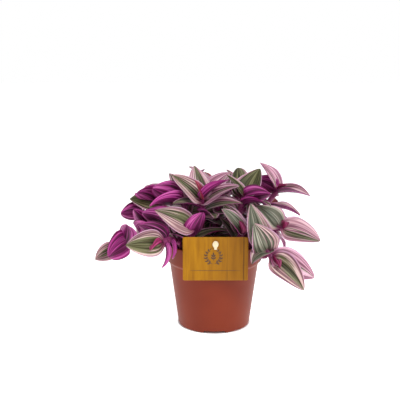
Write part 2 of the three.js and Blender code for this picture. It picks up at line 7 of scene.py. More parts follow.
import logging
from dataclasses import dataclass
from enum import Enum
from math import cos, pi, radians, sin, sqrt

import bpy
import numpy as np
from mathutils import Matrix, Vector


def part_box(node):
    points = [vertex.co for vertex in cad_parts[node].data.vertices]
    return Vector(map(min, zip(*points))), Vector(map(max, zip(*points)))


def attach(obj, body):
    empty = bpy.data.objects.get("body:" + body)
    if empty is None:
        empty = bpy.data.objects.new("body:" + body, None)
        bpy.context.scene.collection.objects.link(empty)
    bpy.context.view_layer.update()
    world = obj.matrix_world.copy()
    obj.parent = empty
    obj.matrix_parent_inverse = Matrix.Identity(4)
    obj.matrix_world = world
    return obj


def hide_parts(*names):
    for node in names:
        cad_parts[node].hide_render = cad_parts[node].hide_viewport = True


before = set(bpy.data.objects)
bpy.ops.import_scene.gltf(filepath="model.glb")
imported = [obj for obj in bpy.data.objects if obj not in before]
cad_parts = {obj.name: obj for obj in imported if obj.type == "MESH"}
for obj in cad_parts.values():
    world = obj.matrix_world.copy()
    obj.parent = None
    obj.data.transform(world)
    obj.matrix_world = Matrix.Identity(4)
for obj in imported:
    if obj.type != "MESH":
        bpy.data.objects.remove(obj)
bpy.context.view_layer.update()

logging.basicConfig(level=logging.INFO, format="%(message)s")
LOG = logging.getLogger("tradescantia")

Array = np.ndarray
Point = tuple[float, float, float]
Pair = tuple[float, float]
Material = bpy.types.Material

# ---------- the main sizes, in mm ----------

POT_HEIGHT = 106.0
COLLAR_HEIGHT = 22.0
RIM_RADIUS = 60.0
BODY_RADIUS = 55.5
BASE_RADIUS = 45.5
POT_WALL = 1.5
POT_TAPER = 0.8
POT_FLOOR = 5.0
SOIL_TOP = 94.0
CARD_X = 0.6
CARD_BACK = -60.8
CARD_THICK = 0.8
PEG_HEIGHT = 118.0
STEM_RADII = (2.9, 2.2)
SHEATH_LENGTH = 8.0
CLASP_ANGLE = radians(62)
CLASP_REACH = 0.1
BASE_BLUNTNESS = 0.45
TIP_BLUNTNESS = 0.72
ROOM_LEAVES = 2.7
ROOM_STEMS = 4.6
ROOM_SAME_SHOOT = 0.7
# A blade's dots from its base on that aren't measured against its own shoot's leaves or stem.
OWN_LEAF_DOTS = 57
OWN_STEM_DOTS = 42


def pot_place() -> Array:
    """Where the pot's axis stands on the ground in the frame, in metres."""
    low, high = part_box("pot")
    return np.array([(low.x + high.x) / 2, (low.y + high.y) / 2, low.z])


POT_PLACE = pot_place()

# ---------- arithmetic helpers ----------


def unit(vector: Array) -> Array:
    """The vector or vectors at length 1."""
    return vector / np.sqrt((vector * vector).sum(axis=-1, keepdims=True))


def smooth(x: Array, low: float, high: float) -> Array:
    """0 below low, 1 above high, and an S-curve between."""
    t = np.clip((x - low) / (high - low), 0, 1)
    return t * t * (3 - 2 * t)


def round_circle(sides: int) -> Array:
    """Angles spread evenly round a full circle."""
    return np.arange(sides) * 2 * pi / sides


def spread_of(dots: Array) -> tuple[Array, float]:
    """The middle of some dots, and how far the farthest lies from it."""
    centre = dots.mean(axis=0)
    return centre, float(np.sqrt(((dots - centre) ** 2).sum(axis=1)).max())


class SeededDraws:
    """Repeatable draws between 0 and 1: a 32-bit count, stepped on and stirred each time."""

    mask = 0xFFFFFFFF
    step = 0x6D2B79F5

    def __init__(self, seed: int) -> None:
        """Starts the row of draws that belongs to this seed."""
        self.state = seed & self.mask

    def __call__(self) -> float:
        """The next draw.

        Returns:
            A number from 0 up to 1.
        """
        self.state = (self.state + self.step) & self.mask
        t = self.state
        t = ((t ^ (t >> 15)) * (t | 1)) & self.mask
        t = t ^ ((t + (((t ^ (t >> 7)) * (t | 61)) & self.mask)) & self.mask)
        return ((t ^ (t >> 14)) & self.mask) / (self.mask + 1)


# ---------- meshes ----------


class Skin:
    """Closed surfaces gathered for one mesh: points, faces, finishes and pattern values."""

    def __init__(self) -> None:
        """Starts empty."""
        self.points: list[Array] = []
        self.patterns: dict[str, list[Array]] = {"place": [], "tone": [], "tint": []}
        self.loops: list[Array] = []
        self.totals: list[Array] = []
        self.finish: list[Array] = []
        self.count = 0

    def loft(
        self,
        rings: Array,
        finish: Array | int = 0,
        place: Array | None = None,
        tone: Point = (0.0, 0.0, 0.0),
        tint: Point = (0.0, 0.0, 0.0),
        ends: tuple[Array | None, Array | None] = (None, None),
        closed_rows: bool = False,
    ) -> None:
        """Joins closed rings of points by quads, and to a point at either end by triangles.

        Args:
            rings: rows by columns by 3.
            finish: finish number of all faces, or of each column's faces.
            place: the pattern's coordinates at each ring point.
            tone: pattern values shared by the whole surface.
            tint: more of them.
            ends: points that close the first and the last ring.
            closed_rows: True where the last ring joins the first.
        """
        rows, columns = rings.shape[:2]
        spans = rows if closed_rows else rows - 1
        i, k = np.meshgrid(np.arange(spans), np.arange(columns), indexing="ij")
        after, up = (k + 1) % columns, (i + 1) % rows
        corners = [i * columns + k, i * columns + after, up * columns + after, up * columns + k]
        quads = np.stack(corners, axis=-1).reshape(-1, 4)
        points = rings.reshape(-1, 3)
        places = np.zeros_like(points) if place is None else place.reshape(-1, 3)
        fans = []
        ring = np.arange(columns)
        for row, sign, end in ((0, -1, ends[0]), (rows - 1, 1, ends[1])):
            if end is None:
                continue
            pair = [row * columns + ring, row * columns + (ring + sign) % columns]
            fans.append(np.stack([*pair, np.full(columns, len(points))], axis=-1))
            middle = places[row * columns : (row + 1) * columns].mean(axis=0)
            points = np.vstack([points, end])
            places = np.vstack([places, middle])
        by_column = np.broadcast_to(np.asarray(finish), (columns,))
        halves = [quads[:, [0, 1, 2]], quads[:, [0, 2, 3]], *fans]
        triangles = points[np.vstack(halves)]
        volume = (triangles[:, 0] * np.cross(triangles[:, 1], triangles[:, 2])).sum()
        self.points.append(points)
        self.patterns["place"].append(places)
        for title, value in (("tone", tone), ("tint", tint)):
            self.patterns[title].append(np.broadcast_to(np.array(value, float), points.shape))
        kinds = [np.tile(by_column, spans), *[by_column] * len(fans)]
        for faces, kind in zip([quads, *fans], kinds):
            turned = faces if volume > 0 else faces[:, ::-1]
            self.loops.append((turned + self.count).ravel())
            self.totals.append(np.full(len(faces), faces.shape[1]))
            self.finish.append(kind)
        self.count += len(points)

    def make(self, name: str, finishes: list[Material], crease: float = 50) -> bpy.types.Object:
        """The finished object, at the origin, with its place in its mesh.

        Args:
            name: the piece's name.
            finishes: materials in the order of the finish numbers.
            crease: edges that bend by more than this many degrees stay sharp.

        Returns:
            The object, linked into the scene.
        """
        points = np.concatenate(self.points) * 0.001 + POT_PLACE
        totals = np.concatenate(self.totals)
        mesh = bpy.data.meshes.new(name)
        mesh.vertices.add(len(points))
        mesh.vertices.foreach_set("co", points.astype(np.float32).ravel())
        loops = np.concatenate(self.loops).astype(np.int32)
        mesh.loops.add(len(loops))
        mesh.loops.foreach_set("vertex_index", loops)
        mesh.polygons.add(len(totals))
        mesh.polygons.foreach_set("loop_start", (np.cumsum(totals) - totals).astype(np.int32))
        mesh.polygons.foreach_set("material_index", np.concatenate(self.finish).astype(np.int32))
        mesh.polygons.foreach_set("use_smooth", np.ones(len(totals), bool))
        mesh.update(calc_edges=True)
        for title, lists in self.patterns.items():
            values = np.concatenate(lists).astype(np.float32)
            attribute = mesh.attributes.new(title, "FLOAT_VECTOR", "POINT")
            attribute.data.foreach_set("vector", values.ravel())
        mesh.set_sharp_from_angle(angle=radians(crease))
        for finish in finishes:
            mesh.materials.append(finish)
        piece = bpy.data.objects.new(name, mesh)
        bpy.context.scene.collection.objects.link(piece)
        return piece


def tube(route: Array, radii: Array, sides: int, run: Array | None = None) -> Array:
    """Rings round a path: each point plus its radius times spokes square to the path.

    Args:
        route: points along the path.
        radii: the radius at each.
        sides: points per ring.
        run: the way the path runs at each; where it's left out, the points give it.

    Returns:
        Rings, one per path point.
    """
    run = unit(np.gradient(route, axis=0)) if run is None else run
    side = unit(np.cross(run, [0.0, 1.0, 0.01]))
    over = np.cross(run, side)
    turn = round_circle(sides)[None, :, None]
    spokes = np.cos(turn) * side[:, None] + np.sin(turn) * over[:, None]
    return route[:, None] + radii[:, None, None] * spokes


def lathe(profile: Array, sides: int) -> Array:
    """Rings for a profile of radius and height pairs, turned about the pot's axis."""
    turn, radius, height = round_circle(sides)[None, :], profile[:, :1], profile[:, 1:]
    return np.stack([radius * np.cos(turn), radius * np.sin(turn), height + 0 * turn], axis=-1)


def arc(centre: Pair, radius: float, start: float, end: float, pieces: int) -> Array:
    """Points of a circle arc from one angle to another, in degrees."""
    turn = np.radians(np.linspace(start, end, pieces + 1))
    return np.stack([centre[0] + radius * np.cos(turn), centre[1] + radius * np.sin(turn)], axis=-1)


def rounded_corners(half: Pair, radius: float, pieces: int) -> list[Array]:
    """Corner arcs, anticlockwise, of a rounded rectangle; half is its half size less the radius."""
    corners = ((1, 1, 0), (-1, 1, 90), (-1, -1, 180), (1, -1, 270))
    return [arc((half[0] * x, half[1] * y), radius, t, t + 90, pieces) for x, y, t in corners]


# ---------- finishes ----------

Tree = bpy.types.NodeTree
Socket = bpy.types.NodeSocket
Feed = float | tuple | str | Socket
Hexes = tuple[str, str, str]
Step = tuple[float, float, float, float]


def linear(code: str) -> tuple[float, float, float, float]:
    """The linear colour of an sRGB hex code, by the sRGB curve.

    Args:
        code: six hex digits after a #.

    Returns:
        Red, green, blue and a full alpha.
    """
    channels = [int(code[i : i + 2], 16) / 255 for i in (1, 3, 5)]
    turned = [c / 12.92 if c <= 0.04045 else ((c + 0.055) / 1.055) ** 2.4 for c in channels]
    return (*turned, 1.0)


def add_node(
    tree: Tree, kind: str, feeds: dict[str, Feed] | list[Feed] | None = None, **settings: object
) -> dict[str, Socket]:
    """Adds a node, sets its properties, and fills or links its inputs.

    Args:
        tree: the material's node tree.
        kind: the node's type name without the ShaderNode prefix.
        feeds: the value, hex colour or socket that feeds each input, by the input's name or in
            the order of the working inputs.
        settings: the node's own properties; stops gives a colour ramp's places and colours.

    Returns:
        The node's working outputs by name.
    """
    made = tree.nodes.new(f"ShaderNode{kind}")
    stops = settings.pop("stops", None)
    for title, value in settings.items():
        setattr(made, title, value)
    if stops:
        elements = made.color_ramp.elements
        elements[0].position, elements[0].color = stops[0][0], linear(stops[0][1])
        elements[1].position, elements[1].color = stops[-1][0], linear(stops[-1][1])
        for position, code in stops[1:-1]:
            elements.new(position).color = linear(code)
    working = [socket for socket in made.inputs if socket.enabled]
    if isinstance(feeds, dict):
        by_name = {socket.name: socket for socket in working}
        pairs = [(by_name[name], value) for name, value in feeds.items()]
    else:
        pairs = list(zip(working, feeds or []))
    for socket, value in pairs:
        if isinstance(value, Socket):
            tree.links.new(value, socket)
        else:
            socket.default_value = linear(value) if isinstance(value, str) else value
    return {socket.name: socket for socket in made.outputs if socket.enabled}


def lay_over(
    tree: Tree, under: Socket, over: str, value: Socket, step: Step, shape: str = "SMOOTHSTEP"
) -> Socket:
    """Covers a colour by another: a step is two values, and the share covered at each of them."""
    share = add_node(tree, "MapRange", [value, *step], interpolation_type=shape)["Result"]
    return add_node(tree, "Mix", [share, under, over], data_type="RGBA")["Result"]


@dataclass(frozen=True)
class Finish:
    """What every finish has: a name, a sheen and a relief; its kind adds the colour.

    The relief is its strength, and its depth in metres. Where there is a glow, this share of the
    light enters the skin, and it reaches glow_depth metres times the share of each colour.
    """

    name: str
    roughness: float = 0.5
    ior: float = 1.45
    glow: float = 0.0
    glow_reach: Point = (1.0, 0.35, 0.5)
    glow_depth: float = 0.0015
    relief: Pair = (0.0, 0.0)

    def make(self) -> Material:
        """The material: the kind's colour and height linked to one shader.

        Returns:
            The material.
        """
        material = bpy.data.materials.new(self.name)
        material.use_nodes = True
        tree = material.node_tree
        shader = tree.nodes["Principled BSDF"].inputs
        shader["Roughness"].default_value = self.roughness
        shader["IOR"].default_value = self.ior
        if self.glow:
            shader["Subsurface Weight"].default_value = self.glow
            shader["Subsurface Radius"].default_value = self.glow_reach
            shader["Subsurface Scale"].default_value = self.glow_depth
        colour, height = self.paint(tree)
        tree.links.new(colour, shader["Base Color"])
        strength, depth = self.relief
        if strength:
            feeds = {"Height": height, "Strength": strength, "Distance": depth}
            tree.links.new(add_node(tree, "Bump", feeds)["Normal"], shader["Normal"])
        return material

    def paint(self, tree: Tree) -> tuple[Socket, Socket]:
        """Adds the kind's own nodes and gives its colour and its height."""
        raise NotImplementedError


@dataclass(frozen=True)
class Leaf(Finish):
    """Living leaf skin with bands along the veins, and raised veins.

    The veins run from base to tip side by side, so a line is a place across the leaf: the
    attribute place holds that place from -1 to 1 and the share of the length. The attribute tone
    holds the leaf's own draw, how wide its green band is and how young it is; the attribute tint
    holds how silvery its green is, how creamy its pink is and where the band's middle lies.

    Each streak noise has its steps across and along the leaf, its detail and a shift that sets
    it apart from the others; the leaves' own draws lie spread apart in all of them. The band is
    ragged by some of them, is cut between two values, and is held off from the margin. Three
    colours of a ramp lie at the marks; a step lays one colour over another.
    """

    relief: Pair = (0.4, 0.0005)
    upper: bool = True
    spread: float = 53.0
    streaks: tuple[tuple[str, float, float, float, float], ...] = (
        ("broad", 3.0, 0.5, 1.0, 0.0),
        ("lines", 12.0, 0.7, 2.0, 5.0),
        ("pale", 8.0, 0.9, 2.0, 11.0),
        ("veins", 36.0, 1.6, 2.0, 17.0),
    )
    ragged: tuple[tuple[str, float], ...] = (("broad", 1.1), ("lines", 1.7))
    cut: Pair = (1.36, 1.5)
    held_off: Step = (0.7, 1.0, 0.0, 0.6)
    marks: Point = (0.36, 0.5, 0.64)
    coral_marks: Point = (0.4, 0.5, 0.58)
    pinks: Hexes = ("#7a475c", "#b87e98", "#e2b8ca")
    creams: Hexes = ("#644448", "#a1827b", "#d8c4b5")
    plum_line: str = "#5c2c42"
    plum_step: Step = (0.54, 0.64, 0.0, 0.75)
    greens: Hexes = ("#1e200d", "#494a26", "#82805a")
    silvers: Hexes = ("#3c4134", "#6c6f5e", "#a5a193")
    vein_line: str = "#482c20"
    vein_step: Step = (0.5, 0.64, 0.0, 0.4)
    margin: str = "#d3a3c0"
    margin_step: Step = (0.9, 0.97, 0.0, 0.8)
    flush: str = "#74184c"
    flush_step: Step = (0.02, 0.16, 0.85, 0.0)
    corals: Hexes = ("#8f1c46", "#bf5660", "#6f6630")
    crimsons: Hexes = ("#560a2e", "#8a1a4c", "#ab4272")
    magentas: Hexes = ("#520f3a", "#9c2678", "#c95fa8")
    plums: Hexes = ("#2a0a1a", "#481334", "#6a2352")
    plum_cover: float = 0.8

    def paint(self, tree: Tree) -> tuple[Socket, Socket]:
        """A green band among pink lines, a pale margin and a flushed base; veins as height.

        Args:
            tree: the material's node tree.

        Returns:
            The sockets of its colour and its height.
        """
        parts = {}
        for title in ("place", "tone", "tint"):
            read = add_node(tree, "Attribute", attribute_name=title)["Vector"]
            parts[title] = add_node(tree, "SeparateXYZ", [read])
        at, own, hue = parts.values()
        draw = add_node(tree, "Math", [own["X"], self.spread], operation="MULTIPLY")["Value"]
        noises = {}
        for title, across, along, detail, shift in self.streaks:
            feeds = [at["X"], across, shift]
            moved = add_node(tree, "Math", feeds, operation="MULTIPLY_ADD")["Value"]
            run = add_node(tree, "Math", [at["Y"], along], operation="MULTIPLY")["Value"]
            where = add_node(tree, "CombineXYZ", [moved, run, draw])["Vector"]
            feeds = {"Vector": where, "Scale": 1.0, "Detail": detail}
            noises[title] = add_node(tree, "TexNoise", feeds)["Fac"]
        side = ("pinks", "creams", "greens", "silvers") if self.upper else ("magentas", "plums")
        ramps = {}
        for title in (*side, "crimsons", "corals"):
            noise = noises["broad" if title == "corals" else "pale"]
            marks = self.coral_marks if title == "corals" else self.marks
            stops = list(zip(marks, getattr(self, title)))
            ramps[title] = add_node(tree, "ValToRGB", [noise], stops=stops)["Color"]
        far = add_node(tree, "Math", [at["X"]], operation="ABSOLUTE")["Value"]
        green = self.green_band(tree, noises, (at["X"], far), own["Y"], hue["Z"])
        if self.upper:
            colour = self.upper_colour(tree, noises, ramps, green, (far, at["Y"]), hue)
        else:
            colour = self.under_colour(tree, ramps, green)
        feeds = [hue["X"], ramps["corals"], ramps["crimsons"]]
        young = add_node(tree, "Mix", feeds, data_type="RGBA")["Result"]
        colour = add_node(tree, "Mix", [own["Z"], colour, young], data_type="RGBA")["Result"]
        return colour, noises["veins"]

    def green_band(
        self,
        tree: Tree,
        noises: dict[str, Socket],
        across: tuple[Socket, Socket],
        width: Socket,
        middle: Socket,
    ) -> Socket:
        """1 where the leaf is green: near the band's middle, ragged with lines, not at the margin.

        Args:
            tree: the material's node tree.
            noises: the noises drawn out along the veins.
            across: the place across the leaf, with and without its sign.
            width: the band's half width.
            middle: the band's middle.

        Returns:
            The socket that holds the mask.
        """
        off = add_node(tree, "Math", [across[0], middle], operation="SUBTRACT")["Value"]
        off = add_node(tree, "Math", [off], operation="ABSOLUTE")["Value"]
        ragged = width
        for title, depth in self.ragged:
            feeds = [noises[title], depth, ragged]
            ragged = add_node(tree, "Math", feeds, operation="MULTIPLY_ADD")["Value"]
        grown = add_node(tree, "Math", [ragged, off], operation="SUBTRACT")["Value"]
        feeds = [across[1], *self.held_off]
        edge = add_node(tree, "MapRange", feeds, interpolation_type="SMOOTHSTEP")["Result"]
        kept = add_node(tree, "Math", [grown, edge], operation="SUBTRACT")["Value"]
        feeds = [kept, *self.cut]
        return add_node(tree, "MapRange", feeds, interpolation_type="SMOOTHSTEP")["Result"]

    def upper_colour(
        self,
        tree: Tree,
        noises: dict[str, Socket],
        ramps: dict[str, Socket],
        green: Socket,
        lies: tuple[Socket, Socket],
        hue: dict[str, Socket],
    ) -> Socket:
        """Pink or cream lined with plum, green or silver lined with brown, and a pale margin.

        Args:
            tree: the material's node tree.
            noises: the noises drawn out along the veins.
            ramps: the colours by name.
            green: the mask of the green band.
            lies: the distance from the midrib, and the share of the leaf's length.
            hue: silver and cream shares.

        Returns:
            The colour's socket.
        """
        feeds = [hue["Y"], ramps["pinks"], ramps["creams"]]
        ground = add_node(tree, "Mix", feeds, data_type="RGBA")["Result"]
        ground = lay_over(tree, ground, self.plum_line, noises["lines"], self.plum_step)
        feeds = [hue["X"], ramps["greens"], ramps["silvers"]]
        leafy = add_node(tree, "Mix", feeds, data_type="RGBA")["Result"]
        leafy = lay_over(tree, leafy, self.vein_line, noises["veins"], self.vein_step)
        colour = add_node(tree, "Mix", [green, ground, leafy], data_type="RGBA")["Result"]
        colour = lay_over(tree, colour, self.margin, lies[0], self.margin_step)
        return lay_over(tree, colour, self.flush, lies[1], self.flush_step)

    def under_colour(self, tree: Tree, ramps: dict[str, Socket], green: Socket) -> Socket:
        """The underside: vivid magenta, mostly covered by plum where the mask is 1.

        Args:
            tree: the material's node tree.
            ramps: the colours by name.
            green: the mask of the green band.

        Returns:
            The colour's socket.
        """
        darker = add_node(tree, "Math", [green, self.plum_cover], operation="MULTIPLY")["Value"]
        feeds = [darker, ramps["magentas"], ramps["plums"]]
        return add_node(tree, "Mix", feeds, data_type="RGBA")["Result"]


@dataclass(frozen=True)
class StemSkin(Finish):
    """Fleshy stem or sheath skin with fine streaks along it.

    The attribute place holds the sine of the turn round the stem, mm along it, and the cosine.
    """

    relief: Pair = (0.4, 0.0003)
    dark: str = "#3a1520"
    light: str = "#7c2b4f"
    stretch: Point = (14.0, 0.12, 1.0)

    def paint(self, tree: Tree) -> tuple[Socket, Socket]:
        """Streaks about 0.5 mm wide, from the dark to the light colour.

        Args:
            tree: the material's node tree.

        Returns:
            The sockets of its colour and its height.
        """
        place = add_node(tree, "Attribute", attribute_name="place")["Vector"]
        long = add_node(tree, "Mapping", {"Vector": place, "Scale": self.stretch})["Vector"]
        streak = add_node(tree, "TexNoise", {"Vector": long, "Scale": 1.0, "Detail": 3.0})["Fac"]
        stops = [(0.35, self.dark), (0.65, self.light)]
        return add_node(tree, "ValToRGB", [streak], stops=stops)["Color"], streak


@dataclass(frozen=True)
class Clouded(Finish):
    """A skin whose colour clouds between stops: moulded plastic, peat, ink or paper.

    Each noise has its scale per metre and its detail. The first is the clouds, the last is the
    height; broken is how rough the noises are.
    """

    noises: tuple[Pair, ...] = ((120.0, 3.0),)
    broken: float = 0.5
    stops: tuple[tuple[float, str], ...] = ((0.3, "#f4f4f4"), (0.7, "#ffffff"))

    def paint(self, tree: Tree) -> tuple[Socket, Socket]:
        """The clouds' colour, and the finest noise as height.

        Args:
            tree: the material's node tree.

        Returns:
            The sockets of its colour and its height.
        """
        where = add_node(tree, "TexCoord")["Object"]
        made = []
        for scale, detail in self.noises:
            feeds = {"Vector": where, "Scale": scale, "Detail": detail, "Roughness": self.broken}
            made.append(add_node(tree, "TexNoise", feeds)["Fac"])
        return add_node(tree, "ValToRGB", [made[0]], stops=self.stops)["Color"], made[-1]


@dataclass(frozen=True)
class PrintedCard(Finish):
    """Card printed as golden upright planks under a satin varnish.

    The print shows upright grain about 1.5 mm apart and dark joints between planks towards the
    right. The gold turns duller and browner towards the right than on the left. Each joint has its
    place, half width and darkness; grain and cloud are drawn out along z by their scales.
    """

    relief: Pair = (0.1, 0.0002)
    centre: Pair = (CARD_X, 100.0)
    joints: tuple[Point, ...] = ((33.3, 0.7, 0.75), (14.0, 0.35, 0.3))
    grain_scale: Point = (0.65, 0.65, 0.035)
    cloud_scale: Point = (0.16, 0.16, 0.02)
    golds: Hexes = ("#8e5c04", "#9f6b06", "#aa750a")
    duller: str = "#7c4c10"
    dull_step: Step = (-22.0, 20.0, 0.0, 0.5)
    grain_line: str = "#6e4312"
    grain_step: Step = (0.5, 0.72, 0.0, 0.38)
    joint_line: str = "#4d2f10"

    def paint(self, tree: Tree) -> tuple[Socket, Socket]:
        """Clouds and streaks drawn out along z, a slow fade, and a dark line at each joint.

        Args:
            tree: the material's node tree.

        Returns:
            The sockets of its colour and its height.
        """
        shift = (-self.centre[0] - POT_PLACE[0] * 1000, 0.0, -self.centre[1])
        feeds = {"Vector": add_node(tree, "TexCoord")["Object"], "Location": shift}
        on_card = add_node(tree, "Mapping", feeds | {"Scale": (1000.0,) * 3})["Vector"]
        across = add_node(tree, "SeparateXYZ", [on_card])["X"]
        feeds = {"Vector": on_card, "Scale": self.grain_scale}
        feeds = {"Vector": add_node(tree, "Mapping", feeds)["Vector"], "Scale": 1.0}
        grain = add_node(tree, "TexNoise", feeds | {"Detail": 4.0, "Distortion": 0.8})["Fac"]
        feeds = {"Vector": on_card, "Scale": self.cloud_scale}
        feeds = {"Vector": add_node(tree, "Mapping", feeds)["Vector"], "Scale": 1.0}
        cloud = add_node(tree, "TexNoise", feeds | {"Detail": 3.0})["Fac"]
        stops = list(zip((0.3, 0.5, 0.7), self.golds))
        colour = add_node(tree, "ValToRGB", [cloud], stops=stops)["Color"]
        colour = lay_over(tree, colour, self.duller, across, self.dull_step, "LINEAR")
        colour = lay_over(tree, colour, self.grain_line, grain, self.grain_step, "LINEAR")
        for joint, half, depth in self.joints:
            off = add_node(tree, "Math", [across, joint], operation="SUBTRACT")["Value"]
            off = add_node(tree, "Math", [off], operation="ABSOLUTE")["Value"]
            step = (half * 0.4, half * 1.4, depth, 0.0)
            colour = lay_over(tree, colour, self.joint_line, off, step)
        return colour, grain


# Injection-moulded polypropylene: even satin colour with clouds 40 mm wide, as the melt flowed,
# and the mould's grain, drawn 0.5 mm wide so that it shows.
MOULDED_PLASTIC = Clouded(
    "moulded_polypropylene",
    0.45,
    ior=1.3,
    relief=(0.15, 0.0002),
    noises=((25.0, 1.0), (2000.0, 2.0)),
    stops=((0.3, "#6e2206"), (0.7, "#77280a")),
)
# Damp peat: crumbs 1.5 mm wide, brown on top; one noise sets both colour and height, so the
# hollows are nearly black with painted shade.
DAMP_PEAT = Clouded(
    "damp_peat",
    0.9,
    relief=(0.8, 0.001),
    noises=((650.0, 6.0),),
    broken=0.7,
    # Painted shade: the darkest stop falls in the hollows of the height noise.
    stops=((0.35, "#120c09"), (0.55, "#2e2119"), (0.75, "#5a4535")),
)
# Slightly uneven printer's ink, the peg's cream plastic, and the seamless paper of a studio.
BROWN_INK = Clouded("brown_ink", 0.5, stops=((0.3, "#4c2f0d"), (0.7, "#5b3a12")))
CREAM_PLASTIC = Clouded("cream_plastic", 0.35, stops=((0.3, "#d8c8a2"), (0.7, "#e2d3b0")))
WHITE_PAPER = Clouded("white_paper_with_painted_glow", 0.9, stops=((0.3, "#fbfbfb"), (0.7, "#ffffff")))


# ---------- how the plant grows: the same rules and figures as its solids ----------


class Route:
    """A smooth curve through points, walked by its share of length from 0 to 1."""

    pieces = 64
    glance = 0.02

    def __init__(self, points: list[Point]) -> None:
        """Catmull-Rom curve through the points, as straight pieces and the length walked.

        Args:
            points: the places it passes through, in mm.
        """
        chosen = np.array(points, float)
        through = np.vstack([2 * chosen[0] - chosen[1], chosen, 2 * chosen[-1] - chosen[-2]])
        spans = len(chosen) - 1
        place = np.arange(self.pieces + 1) / self.pieces * spans
        i = np.minimum(np.floor(place).astype(int), spans - 1)
        f = (place - i)[:, None]
        a, b, c, d = (through[i + n] for n in range(4))
        square = 2 * a - 5 * b + 4 * c - d
        cube = 3 * b - a - 3 * c + d
        self.dots = 0.5 * (2 * b + (c - a) * f + square * f * f + cube * f**3)
        steps = np.sqrt((np.diff(self.dots, axis=0) ** 2).sum(axis=1))
        self.walked = np.concatenate([[0], np.cumsum(steps)])
        self.length = self.walked[-1]

    def at(self, share: float) -> Array:
        """The point at this share of the length.

        Args:
            share: from 0 at its start to 1 at its end.

        Returns:
            The point, in mm.
        """
        target = share * self.length
        passed = int(np.searchsorted(self.walked[1:], target, side="right"))
        i = min(passed, len(self.dots) - 2)
        f = (target - self.walked[i]) / (self.walked[i + 1] - self.walked[i])
        return self.dots[i] * (1 - f) + self.dots[i + 1] * f

    def direction(self, share: float) -> Array:
        """The way the curve runs there."""
        ahead, behind = min(share + self.glance, 1), max(share - self.glance, 0)
        return unit(self.at(ahead) - self.at(behind))


def outline(u: Array, rise: float = BASE_BLUNTNESS, fall: float = TIP_BLUNTNESS) -> Array:
    """Share of the full half width along the blade: u to the rise times (1-u) to the fall.

    Args:
        u: shares of the length.
        rise: how blunt the base is.
        fall: how blunt the tip is, where 1 or more gives a sharp point.

    Returns:
        The shares of the half width.
    """
    widest = rise / (rise + fall)
    full = widest**rise * (1 - widest) ** fall
    return (u + 0.001) ** rise * (1 - u) ** fall / full


class Blade:
    """One blade: an arched midrib from base to tip, trough-shaped across, clasping the stem.

    The dots stand for it where its room is measured: rows from the first share of its length
    up to the tip, and columns from margin to margin. The wave is the margins' ripple: how many
    to the length, how far its phase shifts across, and its height as a share of the width.
    """

    bend_at = 0.45
    first, rows, columns = 0.05, 19, 9
    softness = 0.3
    wave = (1.3, 1.2, 0.03)

    def __init__(
        self,
        base: Array,
        tip: Array,
        face: Array,
        width: float,
        arch: float,
        fold: float,
        phase: float,
    ) -> None:
        """Sets the blade's own directions and the middle point of its arch.

        Args:
            base: where it leaves the stem.
            tip: its point.
            face: the way its upper side faces.
            width: its widest, in mm.
            arch: rise of the midrib as a share of the length.
            fold: how far its halves fold up, in degrees.
            phase: where its margin's wave starts.
        """
        chord = tip - base
        self.length = float(np.sqrt((chord**2).sum()))
        along = chord / self.length
        self.up = unit(face - along * (face @ along))
        self.side = np.cross(along, self.up)
        self.base, self.tip = base, tip
        self.bend = base + chord * self.bend_at + self.up * 2 * arch * self.length
        self.width, self.fold, self.phase = width, radians(fold), phase
        self.tone = Tone.BANDED
        self.band: float | None = None
        self.share = 1.0
        u = self.first + (1 - self.first) * np.arange(self.rows) / (self.rows - 1)
        v = -1 + 2 * np.arange(self.columns) / (self.columns - 1)
        self.dots = self.surface(u, v)[0].reshape(-1, 3)
        self.centre, self.reach = spread_of(self.dots)

    def surface(
        self, u: Array, v: Array, fall: float = TIP_BLUNTNESS, full: float = 1
    ) -> tuple[Array, Array]:
        """Points of the middle skin, and the thickness direction at each.

        The midrib is a quadratic curve. Each half leaves it at the fold angle, which nears the
        clasp angle at the base; height grows as a softened |v|, plus a ripple at the margins.

        Args:
            u: shares of the length.
            v: places across, from -1 to 1.
            fall: how blunt the tip is.
            full: the width drawn, as a share of the blade's own.

        Returns:
            Points and directions, u by v by 3.
        """
        u, v = u[:, None, None], v[None, :, None]
        middle = self.base * (1 - u) ** 2 + self.bend * 2 * u * (1 - u) + self.tip * u * u
        run = unit((self.bend - self.base) * 2 * (1 - u) + (self.tip - self.bend) * 2 * u)
        normal = np.cross(self.side, run)
        half = full * self.width / 2 * outline(u, fall=fall)
        angle = self.fold + (CLASP_ANGLE - self.fold) * np.exp(-((u / CLASP_REACH) ** 2))
        soft = self.softness
        most = sqrt(1 + soft**2) - soft
        rise = (np.sqrt(v * v + soft * soft) - soft) / most
        waves, shift, ripple_height = self.wave
        ripple = np.sin(2 * pi * waves * u + self.phase + v * shift) * v * v
        across = half * np.cos(angle) * v
        height = half * np.sin(angle) * rise + ripple_height * self.width * ripple
        slope = np.tan(angle) * v / np.sqrt(v * v + soft * soft) / most
        return middle + self.side * across + normal * height, unit(normal - self.side * slope)


class Tone(Enum):
    """How a leaf is coloured: its green band's half width, youth, silver share, cream share."""

    YOUNG = (0.3, 0.9, 0.0, 0.0)
    SHEATH = (0.2, 0.9, 1.0, 0.0)
    PINK = (0.15, 0.0, 0.2, 0.1)
    CREAM = (0.42, 0.0, 0.1, 0.75)
    BANDED = (0.35, 0.0, 0.3, 0.35)
    SILVER = (1.0, 0.0, 0.9, 0.7)
    OLIVE = (1.25, 0.0, 0.05, 0.6)
    DUSKY = (0.62, 0.0, 0.05, 0.75)
    # All-green leaves, a tone the plant has; on inner and lower leaves it is also painted shade.
    GREEN = (1.0, 0.0, 0.35, 0.2)


@dataclass(frozen=True)
class LeafPlan:
    """A leaf seen from the front: where it grows, its tip, and how it lies."""

    share: float
    tip: Point
    face: Point
    width: float
    arch: float
    fold: float
    tone: Tone = Tone.BANDED
    band: float | None = None


